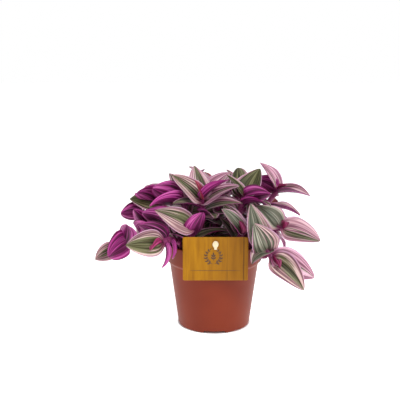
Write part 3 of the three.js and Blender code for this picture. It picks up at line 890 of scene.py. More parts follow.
# A shown leaf that has no room is moved along the line of sight, tilted, then made slimmer.
STEPS_BACK = [0, -2.5, 2.5, -5, 5, -7.5, 7.5, -10, 10, -13, 13, -16, 16, -20, 20]
TILTS = [0, 14, -14, 28, -28]
SLIMMER = (1, 0.88)
SIGHT = unit(np.array([0, 1, -0.21]))
PHASE_STEP = 1.7
# A leaf placed by rule is turned about its stem, leaned farther out, in degrees, and shrunk.
TURNS = [
    (0, 0, 1), (20, 0, 1), (-20, 0, 1), (0, 15, 1), (0, -15, 1), (40, 0, 1), (-40, 0, 1),
    (30, 15, 1), (-30, 15, 1), (0, 0, 0.8), (30, -10, 0.8), (-30, -10, 0.8), (60, 0, 0.8),
    (-60, 0, 0.8), (0, 30, 0.8), (0, -20, 0.7), (45, 20, 0.7), (-45, 20, 0.7), (90, 0, 0.7),
    (-90, 0, 0.7), (0, 0, 0.6), (130, 0, 0.8), (-130, 0, 0.8), (60, 30, 0.7), (-60, 30, 0.7),
    (180, 10, 0.8), (60, -25, 0.6), (-60, -25, 0.6), (120, 20, 0.6), (-120, 20, 0.6),
]  # fmt: skip


# The room kept free for the card and the peg: half width, then front, back, bottom and top.
KEPT_FREE = ((40.5, -68, -57.5, 71.5, 128.5), (6, -60, -43, 0, 126.5))
POT_ROOM = 2.2
RIM_ROOM = 6.5
EDGE_ROOM = 2.0
SOIL_ROOM = 2.5
# The low dome: its reach aside, to the front and to the back, its foot, rise and the room over
# it, and the lowest and highest place for a leaf's tip.
DOME_REACH = (102, 66, 112)
DOME_FOOT, DOME_RISE, DOME_ROOM = 104, 88, 14
LOWEST_TIP, HIGHEST_TIP = 88, 196


def off_the_pot(dots: Array) -> bool:
    """True where all the dots keep off the pot, soil, card, peg and ground.

    Args:
        dots: the points that are tried.

    Returns:
        Whether all of them are clear.
    """
    x, y, z = dots.T
    r = np.hypot(x, y)
    shoulder = POT_HEIGHT - COLLAR_HEIGHT
    body = BASE_RADIUS + (BODY_RADIUS - BASE_RADIUS) * np.clip(z / shoulder, 0, 1)
    wall = np.where(z > shoulder, RIM_RADIUS, body)
    bad = z < EDGE_ROOM
    bad |= (z < POT_HEIGHT + EDGE_ROOM) & (r > RIM_RADIUS - RIM_ROOM) & (r < wall + POT_ROOM)
    bad |= (z < SOIL_TOP + SOIL_ROOM) & (r < wall + POT_ROOM)
    beside = np.abs(x - CARD_X)
    for half, front, back, low, high in KEPT_FREE:
        bad |= (beside < half) & (y > front) & (y < back) & (z > low) & (z < high)
    return not bad.any()


def under_the_dome(tip: Array) -> bool:
    """Outer limit for leaves placed by rule: a low dome over the pot.

    Args:
        tip: a leaf's tip.

    Returns:
        Whether it lies inside the limit.
    """
    x, y, z = tip
    aside, front, back = DOME_REACH
    r = np.hypot(x / aside, y / (front if y < 0 else back))
    dome = DOME_FOOT + DOME_RISE * sqrt(1 - min(r, 1) ** 2)
    return LOWEST_TIP <= z <= HIGHEST_TIP and r < 1 and z < dome + DOME_ROOM


def nearest(some: Array, others: Array) -> float:
    """The least distance between two sets of dots: squares of both less twice their product."""
    squares = (some * some).sum(axis=1)[:, None] + (others * others).sum(axis=1)[None]
    return sqrt(max((squares - 2 * some @ others.T).min(), 0))


class Shoot:
    """One leafy stem: its route, the leaves planned from the photograph, and all its blades.

    The dots stand for the stem where its room is measured, from the first share of its length.
    """

    first, pieces = 0.12, 39

    def __init__(self, name: str, order: int, route: list[Point], plan: list[LeafPlan]) -> None:
        """Sets the stem out; the plant grows its blades.

        Args:
            name: what its piece is called.
            order: its number, which seeds its draws.
            route: the points its stem passes through.
            plan: the leaves that show from the front.
        """
        self.name, self.order, self.plan = name, order, plan
        self.stem = Route(route)
        shares = [self.first + (1 - self.first) * k / self.pieces for k in range(self.pieces + 1)]
        self.dots = np.array([self.stem.at(share) for share in shares])
        self.centre, self.reach = spread_of(self.dots)
        self.blades: list[Blade] = []


# Tone.GREEN on the inner and back leaves here is partly painted shade for the plant's interior.
SHOOTS: list[tuple[str, list[Point], list[LeafPlan]]] = [
    (
        "right_front",
        [(31, -34, 78), (35, -41, 110), (46, -54, 120), (61, -64, 110), (67, -67, 100)],
        [
            LeafPlan(1.0, (74, -85, 96), (0.2, 0.6, 0.8), 14, 0.05, 52, Tone.SHEATH),
            LeafPlan(0.98, (102, -88, 70), (0.3, -0.85, 0.45), 35, 0.08, 24, Tone.CREAM),
            LeafPlan(0.86, (44, -77, 147), (-0.1, -0.8, 0.6), 35, 0.1, 16, Tone.SILVER),
            LeafPlan(0.78, (41, -58, 166), (-0.3, -0.8, 0.5), 29, 0.08, 20, Tone.SILVER),
            LeafPlan(0.93, (118, -60, 76), (0.3, -0.8, 0.6), 33, 0.12, 18, Tone.PINK),
            LeafPlan(0.9, (41, -94, 103), (0, -0.4, 0.9), 26, 0.12, 22, Tone.SILVER),
        ],
    ),
    (
        "right_drooping",
        [(33, -20, 78), (46, -27, 112), (66, -36, 130), (82, -40, 131)],
        [
            LeafPlan(1.0, (82, -56, 143), (0.3, 0.8, 0.5), 14, 0.05, 48, Tone.SHEATH),
            LeafPlan(0.98, (125, -52, 119), (0.1, -0.75, 0.65), 34, 0.1, 16, Tone.BANDED, 0.45),
            LeafPlan(0.93, (50, -28, 157), (0.3, -0.7, 0.65), 33, 0.1, 18, Tone.SILVER),
        ],
    ),
    (
        "front_left",
        [(-20, -36, 78), (-26, -41, 108), (-27, -43, 132)],
        [
            LeafPlan(0.74, (-14, -66, 157), (-0.2, 0.95, 0.1), 30, 0.06, 26),
            LeafPlan(0.99, (-71, -54, 157), (-0.1, -0.75, 0.65), 31, 0.08, 16, Tone.CREAM),
        ],
    ),
    (
        "front_right",
        [(18, -34, 78), (24, -42, 108), (31, -49, 127)],
        [
            LeafPlan(0.97, (7, -56, 159), (0.4, -0.8, 0.5), 28, 0.05, 26, Tone.SILVER),
            LeafPlan(1.0, (28, -60, 146), (0.6, 0.6, 0.3), 14, 0.03, 52, Tone.SHEATH),
        ],
    ),
    (
        "left_front",
        [(-34, -28, 78), (-42, -38, 112), (-54, -51, 121), (-62, -58, 119)],
        [
            LeafPlan(1.0, (-75, -76, 114), (0.2, 0.8, 0.5), 15, 0.05, 48, Tone.SHEATH),
            LeafPlan(0.98, (-105, -72, 119), (0, -0.9, 0.45), 32, 0.1, 16, Tone.DUSKY, 0.0),
            LeafPlan(0.9, (-89, -60, 141), (0, 1, 0.2), 26, 0.1, 22),
            LeafPlan(0.95, (-62, -82, 95), (0.5, 0.8, 0.2), 12, 0.14, 50),
            LeafPlan(0.83, (-50, -74, 103), (0.3, 0.9, 0.1), 11, 0.1, 46),
        ],
    ),
    (
        "left_far",
        [(-40, -8, 78), (-54, -14, 116), (-82, -26, 123), (-108, -38, 112), (-118, -41, 106)],
        [
            LeafPlan(1.0, (-143, -48, 95), (0.1, -0.8, 0.6), 24, 0.1, 20, Tone.CREAM),
            LeafPlan(0.8, (-124, -56, 102), (0, 0.95, 0.1), 34, 0.08, 14),
            LeafPlan(0.92, (-104, -50, 139), (0.2, 1, 0.2), 28, 0.1, 26),
            LeafPlan(0.72, (-78, -52, 139), (0.1, 1, 0.3), 30, 0.1, 20),
            LeafPlan(0.6, (-97, -39, 155), (0, 0.8, 0.5), 25, 0.08, 20),
        ],
    ),
    (
        "centre_left",
        [(-12, -18, 78), (-14, -21, 120), (-16, -25, 164)],
        [
            LeafPlan(1.0, (-24, -38, 190), (0.9, -0.4, 0.3), 13, 0.02, 48, Tone.YOUNG),
            LeafPlan(0.98, (17, -49, 193), (-0.5, 0.6, 0.7), 24, 0.06, 26),
            LeafPlan(0.965, (-25, 2, 201), (0.2, -0.9, 0.3), 28, 0.06, 18, Tone.BANDED, 0.1),
            LeafPlan(0.95, (-52, -16, 192), (0.5, -0.6, 0.6), 29, 0.1, 28, Tone.CREAM),
            LeafPlan(0.9, (30, -28, 181), (-0.2, -0.6, 0.8), 31, 0.1, 18, Tone.PINK),
            LeafPlan(0.96, (20, 0, 193), (-0.4, -0.6, 0.6), 27, 0.08, 20, Tone.PINK),
            LeafPlan(0.84, (-50, -45, 163), (0, -0.2, 1), 28, 0.1, 18, Tone.GREEN),
            LeafPlan(0.8, (33, -46, 163), (0, -0.3, 1), 28, 0.1, 18, Tone.GREEN),
            LeafPlan(0.74, (0, -64, 149), (0, -0.4, 0.9), 26, 0.12, 18, Tone.GREEN),
            LeafPlan(0.36, (8, -41, 111), (0, -1, 0.2), 24, 0.08, 16, Tone.GREEN),
        ],
    ),
    (
        "centre_right",
        [(12, -10, 78), (25, -14, 120), (36, -16, 166)],
        [
            LeafPlan(0.96, (57, 8, 196), (-0.5, -0.9, 0.3), 33, 0.06, 18, Tone.OLIVE),
            LeafPlan(0.95, (67, -40, 174), (0.1, 0.9, 0.4), 29, 0.05, 26),
            LeafPlan(1.0, (27, 4, 186), (0.3, -0.9, 0.4), 9, 0.02, 50, Tone.YOUNG),
            LeafPlan(0.99, (15, -4, 190), (0.5, -0.7, 0.5), 15, 0.06, 40, Tone.OLIVE),
            LeafPlan(0.93, (32, 40, 192), (-0.1, -0.8, 0.5), 26, 0.1, 22, Tone.OLIVE),
            LeafPlan(0.86, (66, -46, 160), (0.1, 0.8, 0.5), 24, 0.1, 22, Tone.GREEN),
        ],
    ),
    (
        "right_back",
        [(24, 8, 78), (52, 7, 130), (79, 5, 170)],
        [
            LeafPlan(1.0, (89, 0, 177), (-0.6, 0, 0.8), 10, 0.02, 55, Tone.SHEATH),
            LeafPlan(0.97, (57, 14, 203), (0.6, -0.5, 0.6), 28, 0.06, 34, Tone.PINK),
            LeafPlan(0.94, (119, -6, 164), (0, -0.1, 1), 30, 0.08, 34),
            LeafPlan(0.99, (48, 16, 183), (0.3, 0.7, 0.6), 24, 0.08, 24, Tone.PINK),
        ],
    ),
    (
        "right_middle",
        [(32, -4, 78), (50, -5, 118), (68, -8, 150)],
        [LeafPlan(0.98, (104, -28, 144), (0, -0.1, 1), 28, 0.1, 28)],
    ),
    (
        "left_hanging",
        [(-34, -16, 78), (-42, -26, 112), (-52, -36, 136)],
        [LeafPlan(0.99, (-86, -50, 153), (0, 1, 0.2), 31, 0.1, 22)],
    ),
    (
        "left_top",
        [(-26, -10, 78), (-31, -14, 120), (-38, -18, 162)],
        [
            LeafPlan(0.99, (-74, -42, 181), (0.1, 1, 0.2), 33, 0.1, 24),
            LeafPlan(0.92, (-76, -50, 160), (0, 1, 0.2), 31, 0.1, 24),
            LeafPlan(0.96, (-56, 10, 190), (0, -0.8, 0.6), 28, 0.1, 24),
        ],
    ),
    (
        "left_middle",
        [(-38, 2, 78), (-52, -2, 122), (-70, -14, 160)],
        [
            LeafPlan(0.99, (-92, -46, 176), (0, 1, 0.3), 29, 0.1, 24),
            LeafPlan(0.94, (-104, -22, 164), (-0.2, -0.8, 0.6), 27, 0.08, 20, Tone.OLIVE),
            LeafPlan(0.96, (-80, 22, 174), (0, -0.8, 0.6), 28, 0.1, 24),
        ],
    ),
    (
        "left_low",
        [(-42, 14, 78), (-57, 8, 122), (-88, -14, 146)],
        [LeafPlan(0.99, (-113, -36, 149), (0, 0.9, 0.4), 24, 0.1, 24)],
    ),
    ("back_left", [(-20, 26, 78), (-28, 42, 122), (-42, 58, 150)], []),
    (
        "back_middle",
        [(2, 30, 78), (2, 46, 124), (-4, 56, 164)],
        [LeafPlan(0.88, (40, 72, 181), (0, -1, 0.2), 24, 0.08, 16, Tone.PINK)],
    ),
    (
        "back_right",
        [(22, 30, 78), (34, 46, 120), (50, 62, 146)],
        [LeafPlan(0.89, (68, 37, 147), (0, 0.7, 0.6), 24, 0.08, 16)],
    ),
    ("back_low", [(0, 44, 78), (4, 50, 112), (8, 72, 128)], []),
    (
        "back_high",
        [(0, 8, 78), (2, 14, 126), (8, 20, 168)],
        [
            LeafPlan(0.68, (38, -12, 140), (0, -0.6, 0.8), 29, 0.1, 16, Tone.GREEN),
            LeafPlan(0.64, (-38, -6, 142), (0, -0.6, 0.8), 29, 0.1, 16, Tone.GREEN),
            LeafPlan(0.5, (8, -34, 134), (0, -0.6, 0.8), 29, 0.1, 16, Tone.GREEN),
            LeafPlan(0.52, (17, -12, 128), (0, -0.5, 0.9), 24, 0.1, 16, Tone.GREEN),
        ],
    ),
    ("back_far_left", [(-33, 24, 78), (-44, 34, 118), (-76, 50, 124)], []),
    ("back_far_right", [(35, 20, 78), (47, 28, 118), (80, 40, 126)], []),
    (
        "inner_left",
        [(-14, 6, 78), (-18, 12, 112), (-32, 20, 140)],
        [LeafPlan(0.59, (-3, 41, 124), (0, -1, 0.2), 26, 0.08, 16, Tone.GREEN)],
    ),
    ("side_left", [(-30, 12, 78), (-42, 14, 112), (-62, 22, 138)], []),
    ("side_right", [(38, 4, 78), (48, 8, 112), (72, 22, 142)], []),
    ("back_high_left", [(-12, 24, 78), (-16, 30, 120), (-26, 36, 162)], []),
    (
        "back_high_right",
        [(12, 26, 78), (20, 30, 120), (34, 40, 164)],
        [LeafPlan(0.43, (10, 2, 124), (0, -1, 0.2), 24, 0.08, 16, Tone.GREEN)],
    ),
]


@dataclass(frozen=True)
class Habit:
    """How a stem fills with leaves below those that show, from its tip down.

    A stem is bare where no shown leaf grows above bare_above; then its leaves start small and
    upright at its tip, and grow and lean out with age, which is the mm below the tip. Spacing is
    in mm. A draw decides how far a leaf's turn and vigour stray.
    """

    seeds: tuple[int, int] = (1000, 17)
    length: float = 57.0
    width: float = 30.0
    bare_above: float = 0.9
    below_shown: float = 0.06
    lowest: float = 0.3
    above_soil: float = 12.0
    upright: float = 0.98
    first_size: float = 0.38
    grown_at: float = 22.0
    leans: Pair = (28.0, 42.0)
    full_lean: float = 70.0
    lean_age: float = 30.0
    stray: float = 0.7
    vigour: Pair = (0.9, 0.2)
    droop: float = 0.1
    facing: Point = (0.9, 0.7, 0.1)
    slimness: Pair = (0.45, 0.55)
    arch: float = 0.1
    folds: Pair = (20.0, 12.0)
    wave_phase: float = 9.0
    young_below: float = 0.5
    # Leaves lower than this are all green, partly as painted shade low in the plant.
    shaded_green_below: float = 128.0
    spacing: Pair = (4.0, 5.0)


@dataclass
class Plant:
    """All the leafy stems, grown in order so that no two leaves meet."""

    shoots: list[Shoot]
    habit: Habit = Habit()

    def grow(self) -> None:
        """Places the leaves that show from the front, then fills each stem below them."""
        for shoot in self.shoots:
            self.place_shown(shoot)
        for shoot in self.shoots:
            self.fill_below(shoot)

    def has_room(self, blade: Blade, shoot: Shoot) -> bool:
        """True where a blade clears the pot, every other leaf and every stem.

        Args:
            blade: the blade that is tried.
            shoot: the shoot it would grow on.

        Returns:
            Whether it fits.
        """
        if not off_the_pot(blade.dots):
            return False
        for other in self.shoots:
            own = other is shoot
            outer = blade.dots[OWN_LEAF_DOTS:] if own else blade.dots
            for rival in other.blades:
                between = sqrt(((rival.centre - blade.centre) ** 2).sum())
                if between > rival.reach + blade.reach + ROOM_LEAVES:
                    continue
                its = rival.dots[OWN_LEAF_DOTS:] if own else rival.dots
                if nearest(outer, its) < ROOM_LEAVES * (ROOM_SAME_SHOOT if own else 1):
                    return False
            apart = sqrt(((other.centre - blade.centre) ** 2).sum())
            if apart > other.reach + blade.reach + ROOM_STEMS:
                continue
            outer = blade.dots[OWN_STEM_DOTS:] if own else blade.dots
            if nearest(outer, other.dots) < ROOM_STEMS:
                return False
        return True

    def place_shown(self, shoot: Shoot) -> None:
        """The planned leaves, each moved a little along the line of sight if it must be.

        Args:
            shoot: the shoot that is given its planned leaves.
        """
        tries = [(k, step, tilt) for k in SLIMMER for step in STEPS_BACK for tilt in TILTS]
        for i, plan in enumerate(shoot.plan):
            base = shoot.stem.at(plan.share)
            for slimmer, step, tilt in tries:
                tip = np.array(plan.tip, float) + SIGHT * step
                aside = unit(np.cross(tip - base, plan.face))
                face = unit(np.array(plan.face, float)) + aside * sin(radians(tilt))
                width, phase = plan.width * slimmer, i * PHASE_STEP
                blade = Blade(base, tip, face, width, plan.arch, plan.fold, phase)
                if self.has_room(blade, shoot):
                    blade.tone, blade.band, blade.share = plan.tone, plan.band, plan.share
                    shoot.blades.append(blade)
                    break

    def fill_below(self, shoot: Shoot) -> None:
        """Leaves by turns on either side of the stem, from the lowest shown leaf down.

        Args:
            shoot: the shoot that is filled.
        """
        habit, stem = self.habit, shoot.stem
        draw = SeededDraws(habit.seeds[0] + shoot.order * habit.seeds[1])
        bare = all(plan.share < habit.bare_above for plan in shoot.plan)
        around = draw() * 2 * pi
        share = 1.0 if bare else min(plan.share for plan in shoot.plan) - habit.below_shown
        while share > habit.lowest:
            base = stem.at(share)
            if base[2] < SOIL_TOP + habit.above_soil:
                break
            run = stem.direction(share)
            level = abs(run[2]) < habit.upright
            side = unit(np.cross(run, [0, 0, 1])) if level else np.array([1.0, 0, 0])
            over = np.cross(side, run)
            age = (1 - share) * stem.length
            grown = min(1, habit.first_size + age / habit.grown_at) if bare else 1
            first, more = habit.leans
            spread = first + min(age / habit.lean_age, 1) * more if bare else habit.full_lean
            turn = (draw() - 0.5) * habit.stray
            vigour = habit.vigour[0] + habit.vigour[1] * draw()
            fold = habit.folds[0] + habit.folds[1] * (1 - grown)
            slim = habit.slimness[0] + habit.slimness[1] * grown
            for aside, wider, smaller in TURNS:
                angle = around + turn + radians(aside)
                lean = radians(spread + wider)
                out = side * cos(angle) + over * sin(angle)
                way = unit(run * cos(lean) + out * sin(lean))
                length = habit.length * vigour * grown * smaller
                tip = base + way * length + np.array([0, 0, -habit.droop]) * length
                if not under_the_dome(tip):
                    continue
                along, upward, back = habit.facing
                face = unit(run * along + np.array([0, 0, upward]) - way * back)
                width = habit.width * vigour * slim * smaller
                phase = turn * habit.wave_phase
                blade = Blade(base, tip, face, width, habit.arch, fold, phase)
                if self.has_room(blade, shoot):
                    # Low leaves are all green, partly as painted shade inside the plant.
                    low = base[2] < habit.shaded_green_below
                    shown = Tone.GREEN if low else Tone.BANDED
                    blade.tone = Tone.YOUNG if grown < habit.young_below else shown
                    blade.share = share
                    shoot.blades.append(blade)
                    break
            around += pi
            least, more = habit.spacing
            full = habit.lean_age
            share -= (least + (min(age, full) / full) * more) / stem.length


# ---------- the pieces ----------

# The section of a sheath's wall: mm over the stem's radius, and mm over its lower end.
SHEATH_PROFILE = [
    (-0.4, 0.0), (0.35, 0.8), (0.5, 3.0), (0.6, 6.0), (1.1, 7.8), (1.2, 8.1), (0.9, 8.0),
    (0.3, 6.0), (-0.4, 4.0),
]  # fmt: skip


@dataclass
class LeafyStem:
    """One stem with its leaves and sheaths, as one piece.

    The stem swells by a share of its radius over the node's length. A blade's rows crowd towards
    its base and its columns towards its margins, by the powers. Its band's width and middle
    stray by draws.
    """

    shoot: Shoot
    seeds: tuple[int, int] = (5000, 31)
    stem_sides: int = 20
    stem_rows: int = 24
    stem_step: float = 1.6
    swell: float = 0.1
    node_length: float = 1.2
    bud: float = 1.5
    sheath_sides: int = 24
    nest_step: float = 0.22
    rows: int = 30
    columns: int = 16
    crowding: Pair = (1.25, 0.9)
    thick: float = 0.8
    tip_fall: float = 0.88
    fullness: float = 1.05
    stray: Pair = (0.2, 0.9)

    def radius(self, share: Array) -> Array:
        """The stem's radius, which falls evenly from its foot to its tip."""
        return STEM_RADII[0] + (STEM_RADII[1] - STEM_RADII[0]) * share

    def pattern(self, rings: Array, along: Array) -> Array:
        """The stem skin's place: the turn's sine, mm along, and the turn's cosine."""
        turn = np.broadcast_to(round_circle(rings.shape[1]), rings.shape[:2])
        return np.stack([np.sin(turn), along[:, None] + 0 * turn, np.cos(turn)], axis=-1)

    def add_stem(self, skin: Skin) -> None:
        """A fleshy tube whose radius falls evenly and swells a little at each leaf's node.

        Args:
            skin: the mesh it goes into.
        """
        stem = self.shoot.stem
        share = np.linspace(0, 1, max(self.stem_rows, int(stem.length / self.stem_step)))
        route = np.array([stem.at(s) for s in share])
        radii, along = self.radius(share), share * stem.length
        for blade in self.shoot.blades:
            off = (along - (blade.share * stem.length - SHEATH_LENGTH)) / self.node_length
            radii = radii * (1 + self.swell * np.exp(-(off**2)))
        rings = tube(route, radii, self.stem_sides)
        tip = stem.at(1) + stem.direction(1) * self.bud
        skin.loft(rings, 2, self.pattern(rings, along), ends=(route[0], tip))

    def add_sheath(self, skin: Skin, blade: Blade, nest: int) -> None:
        """A thin sleeve round the stem below a leaf, flared at its mouth, closed round its rim.

        Args:
            skin: the mesh it goes into.
            blade: the leaf whose sheath it is.
            nest: how many younger sheaths it wraps.
        """
        stem = self.shoot.stem
        room, height = np.array(SHEATH_PROFILE).T
        low = blade.share * stem.length - SHEATH_LENGTH
        share = np.clip((low + height) / stem.length, 0, 1)
        route = np.array([stem.at(s) for s in share])
        run = np.array([stem.direction(s) for s in share])
        radii = self.radius(share) + room + self.nest_step * nest
        rings = tube(route, radii, self.sheath_sides, run)
        skin.loft(rings, 3, self.pattern(rings, height), closed_rows=True)

    def add_blade(self, skin: Skin, blade: Blade, draw: SeededDraws) -> None:
        """A closed blade: the middle skin moved out by half a thickness that ends at the margins.

        The half thickness is greatest at the midrib and falls with the fourth power of v.

        Args:
            skin: the mesh it goes into.
            blade: its middle skin and its colours.
            draw: the stem's row of draws for patterns.
        """
        rows, columns = self.rows, self.columns
        u = np.linspace(0, 1, rows + 1)[:-1] ** self.crowding[0]
        v = np.linspace(-1, 1, columns + 1)
        v = np.sign(v) * np.abs(v) ** self.crowding[1]
        points, out = blade.surface(u, v, self.tip_fall, self.fullness)
        half = self.thick / 2 * (1 - v[None, :, None] ** 4)
        upper, under = points + out * half, points - out * half
        rings = np.concatenate([upper, under[:, -2:0:-1]], axis=1)
        ring_v = np.concatenate([v, v[-2:0:-1]])
        place = np.stack(np.broadcast_arrays(ring_v[None, :], u[:, None], 0.0), axis=-1)
        finish = np.where(np.arange(2 * columns) < columns, 0, 1)
        green, young, silver, cream = blade.tone.value
        tone = (draw(), green + self.stray[0] * (draw() - 0.5), young)
        drawn = self.stray[1] * (draw() - 0.5)
        band = drawn if blade.band is None else blade.band
        ends = (points[0].mean(axis=0), blade.tip)
        skin.loft(rings, finish, place, tone, (silver, cream, band), ends)

    def build(self, finishes: list[Material]) -> bpy.types.Object:
        """Stem, sheaths and blades in one mesh that replaces the stem's solid.

        Args:
            finishes: the skins of leaf top, leaf underside, stem and sheath.

        Returns:
            The finished object.
        """
        skin = Skin()
        self.add_stem(skin)
        draw = SeededDraws(self.seeds[0] + self.seeds[1] * self.shoot.order)
        above: list[float] = []
        for blade in sorted(self.shoot.blades, key=lambda one: -one.share):
            near = [s for s in above if (s - blade.share) * self.shoot.stem.length < SHEATH_LENGTH]
            self.add_sheath(skin, blade, len(near))
            self.add_blade(skin, blade, draw)
            above.append(blade.share)
        piece = skin.make(f"leafy_stem_{self.shoot.name}", finishes)
        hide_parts(f"shoot_{self.shoot.name}")
        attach(piece, "root")
        return piece


@dataclass
class Pot:
    """The moulded pot: tall collar, shoulder, tapering body, notched foot and drain holes.

    The shoulder is an S-curve from below the collar's foot to above it. A notch holds how many
    there are, its width and its height; a drain holds how many stand in the ring, a hole's
    radius and the ring's.
    """

    shoulder_drop: float = 2.5
    shoulder_start: float = 2.5
    shoulder_rise: float = 5.5
    shoulder_rows: int = 10
    floor_sheet: float = 2.0
    floor_rings: Pair = (6.0, 20.0)
    foot_inside: float = 39.5
    bevel: float = 0.3
    edge: float = 2.5
    sides: int = 160
    notch: tuple[int, float, float] = (4, 26.0, 3.0)
    notch_slope: float = 0.7
    drain: tuple[int, float, float] = (6, 4.0, 27.0)
    drain_sides: int = 32

    def profile(self) -> Array:
        """Radius and height round the wall's whole section, every bend rounded.

        Returns:
            The points of the section.
        """
        foot = POT_HEIGHT - COLLAR_HEIGHT
        shoulder = foot - self.shoulder_drop
        start = shoulder - self.shoulder_start
        low, lip = RIM_RADIUS - POT_TAPER, POT_WALL / 2
        inside, under = self.foot_inside, POT_FLOOR - self.floor_sheet
        middle, ring = self.floor_rings
        rise = np.linspace(0, 1, self.shoulder_rows + 1)[1:]
        bend = BODY_RADIUS + (low - BODY_RADIUS) * smooth(rise, 0, 1)
        floor_radius = BASE_RADIUS + (BODY_RADIUS - BASE_RADIUS) * POT_FLOOR / foot - POT_WALL
        parts = [
            [[middle, under], [ring, under], [inside, under], [inside, self.bevel]],
            [[inside + self.bevel, 0.0]],
            arc((BASE_RADIUS - self.edge, self.edge), self.edge, -90, 0, 8),
            np.linspace([BASE_RADIUS + 0.2, 6], [BODY_RADIUS, start], 10),
            np.column_stack([bend, start + self.shoulder_rise * rise]),
            np.linspace([low, foot + 2], [RIM_RADIUS, POT_HEIGHT - 1], 6),
            arc((RIM_RADIUS - lip, POT_HEIGHT - lip), lip, 0, 180, 8),
            [[low - POT_WALL, foot + 1], [BODY_RADIUS - POT_WALL, shoulder + 1]],
            [[floor_radius + 0.8, POT_FLOOR + 1], [floor_radius, POT_FLOOR]],
            [[ring, POT_FLOOR], [middle, POT_FLOOR]],
        ]
        return np.vstack(parts)

    def build(self, plastic: Material) -> bpy.types.Object:
        """The turned wall, its foot lifted at the notches, and the drain holes cut through.

        Args:
            plastic: the material of the whole pot.

        Returns:
            The finished object.
        """
        rings = lathe(self.profile(), self.sides)
        count, width, height = self.notch
        turn = np.arctan2(rings[..., 1], rings[..., 0])
        off = np.abs((turn + pi / 2 + pi / count) % (2 * pi / count) - pi / count)
        slope = self.notch_slope
        lift = smooth(off * BASE_RADIUS, width / 2 + slope, width / 2 - slope)
        z = rings[..., 2]
        rings[..., 2] = np.where(z < height, z + lift * (height - z), z)
        skin = Skin()
        centre = np.array([0, 0, POT_FLOOR])
        skin.loft(rings, ends=(centre - [0, 0, self.floor_sheet], centre))
        piece = skin.make("plastic_pot", [plastic], 35)
        self.drill(piece)
        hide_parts("pot")
        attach(piece, "root")
        return piece

    def drill(self, piece: bpy.types.Object) -> None:
        """Cuts a hole in the floor's middle and a ring of them round it.

        Args:
            piece: the pot before its holes.
        """
        count, radius, circle = self.drain
        skin = Skin()
        low, high = -1.0, POT_FLOOR + 2
        hole = lathe(np.array([[radius, low], [radius, high]]), self.drain_sides)
        turns = 2 * pi * (np.arange(count) + 0.5) / count
        for x, y in [(0.0, 0.0), *zip(circle * np.cos(turns), circle * np.sin(turns))]:
            place = np.array([x, y, 0])
            skin.loft(hole + place, ends=(place + [0, 0, low], place + [0, 0, high]))
        cutter = skin.make("drain_cutter", [])
        cut = piece.modifiers.new("drain", "BOOLEAN")
        cut.operation, cut.object, cut.solver = "DIFFERENCE", cutter, "EXACT"
        graph = bpy.context.evaluated_depsgraph_get()
        mesh = bpy.data.meshes.new_from_object(piece.evaluated_get(graph))
        old = piece.data
        piece.modifiers.clear()
        piece.data = mesh
        bpy.data.meshes.remove(old)
        bpy.data.objects.remove(cutter)


@dataclass
class Soil:
    """The peat: a lumpy top with loose crumbs, and a plain body inside the pot.

    The lumps are waves of these lengths and heights, laid in drawn directions. A crumb strays
    from its size and from a ball's shape by these shares.
    """

    gap: float = 0.3
    sides: int = 140
    rows: int = 46
    seed: int = 77
    lumps: tuple[Pair, ...] = ((9.0, 0.7), (4.2, 0.5), (2.1, 0.35))
    waves: int = 5
    wave_share: float = 2.2
    tallest: float = 1.6
    sunk: float = 0.4
    crumbs: int = 420
    grain: float = 1.1
    grain_sizes: Pair = (0.5, 1.5)
    grain_stretch: Pair = (0.7, 1.3)
    grain_roughness: float = 0.22

    def build(self, peat: Material) -> bpy.types.Object:
        """Rings from the pot's floor to the middle of the top, and crumbs pressed into it.

        Args:
            peat: the material of the top and the crumbs.

        Returns:
            The finished object.
        """
        foot = POT_HEIGHT - COLLAR_HEIGHT
        low, inner = POT_FLOOR + self.gap, RIM_RADIUS - POT_TAPER - POT_WALL - self.gap
        body = [(10.0, low), (40.0, low), (44.3, low), (53.5, foot - 1.5)]
        body += [(inner, foot + 2), (inner, SOIL_TOP - 1)]
        reach = np.linspace(inner - 0.6, 1.2, self.rows)
        top = np.column_stack([reach, np.full(self.rows, SOIL_TOP)])
        rings = lathe(np.vstack([body, top]), self.sides)
        random = np.random.default_rng(self.seed)
        x, y, z = (rings[len(body) :, :, k] for k in range(3))
        lumps = np.zeros_like(x)
        for length, height in self.lumps:
            for _ in range(self.waves):
                turn, shift = random.uniform(0, 2 * pi, 2)
                wave = (x * cos(turn) + y * sin(turn)) * 2 * pi / length + shift
                lumps += height / self.wave_share * np.sin(wave)
        z += np.clip(lumps, -self.tallest, self.tallest) - self.sunk
        skin = Skin()
        skin.loft(rings, ends=(np.array([0, 0, low]), np.array([0, 0, SOIL_TOP - self.sunk])))
        self.scatter(skin, random, inner - 3)
        piece = skin.make("peat_soil", [peat])
        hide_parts("soil")
        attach(piece, "root")
        return piece

    def scatter(self, skin: Skin, random: np.random.Generator, reach: float) -> None:
        """Crumbs: small lumpy balls of five rings, spread evenly over the top.

        Args:
            skin: the mesh it goes into.
            random: the soil's row of draws.
            reach: how far out the crumbs lie.
        """
        polar = np.linspace(0.35, pi - 0.35, 5)
        ball = lathe(np.column_stack([np.sin(polar), np.cos(polar)]), 8)
        for _ in range(self.crumbs):
            r, turn = reach * sqrt(random.uniform()), random.uniform(0, 2 * pi)
            size = self.grain * random.uniform(*self.grain_sizes)
            rough = 1 + self.grain_roughness * random.standard_normal(ball.shape[:2])[..., None]
            stretch = random.uniform(*self.grain_stretch, 3)
            place = np.array([r * cos(turn), r * sin(turn), SOIL_TOP - 0.2 + size * 0.2])
            pole = np.array([0, 0, size * stretch[2]])
            skin.loft(ball * rough * stretch * size + place, ends=(place + pole, place - pole))


def stood_up(points: Array, y: float) -> Array:
    """Points of x and z, stood up at one y."""
    return np.column_stack([points[:, 0], np.full(len(points), y), points[:, 1]])


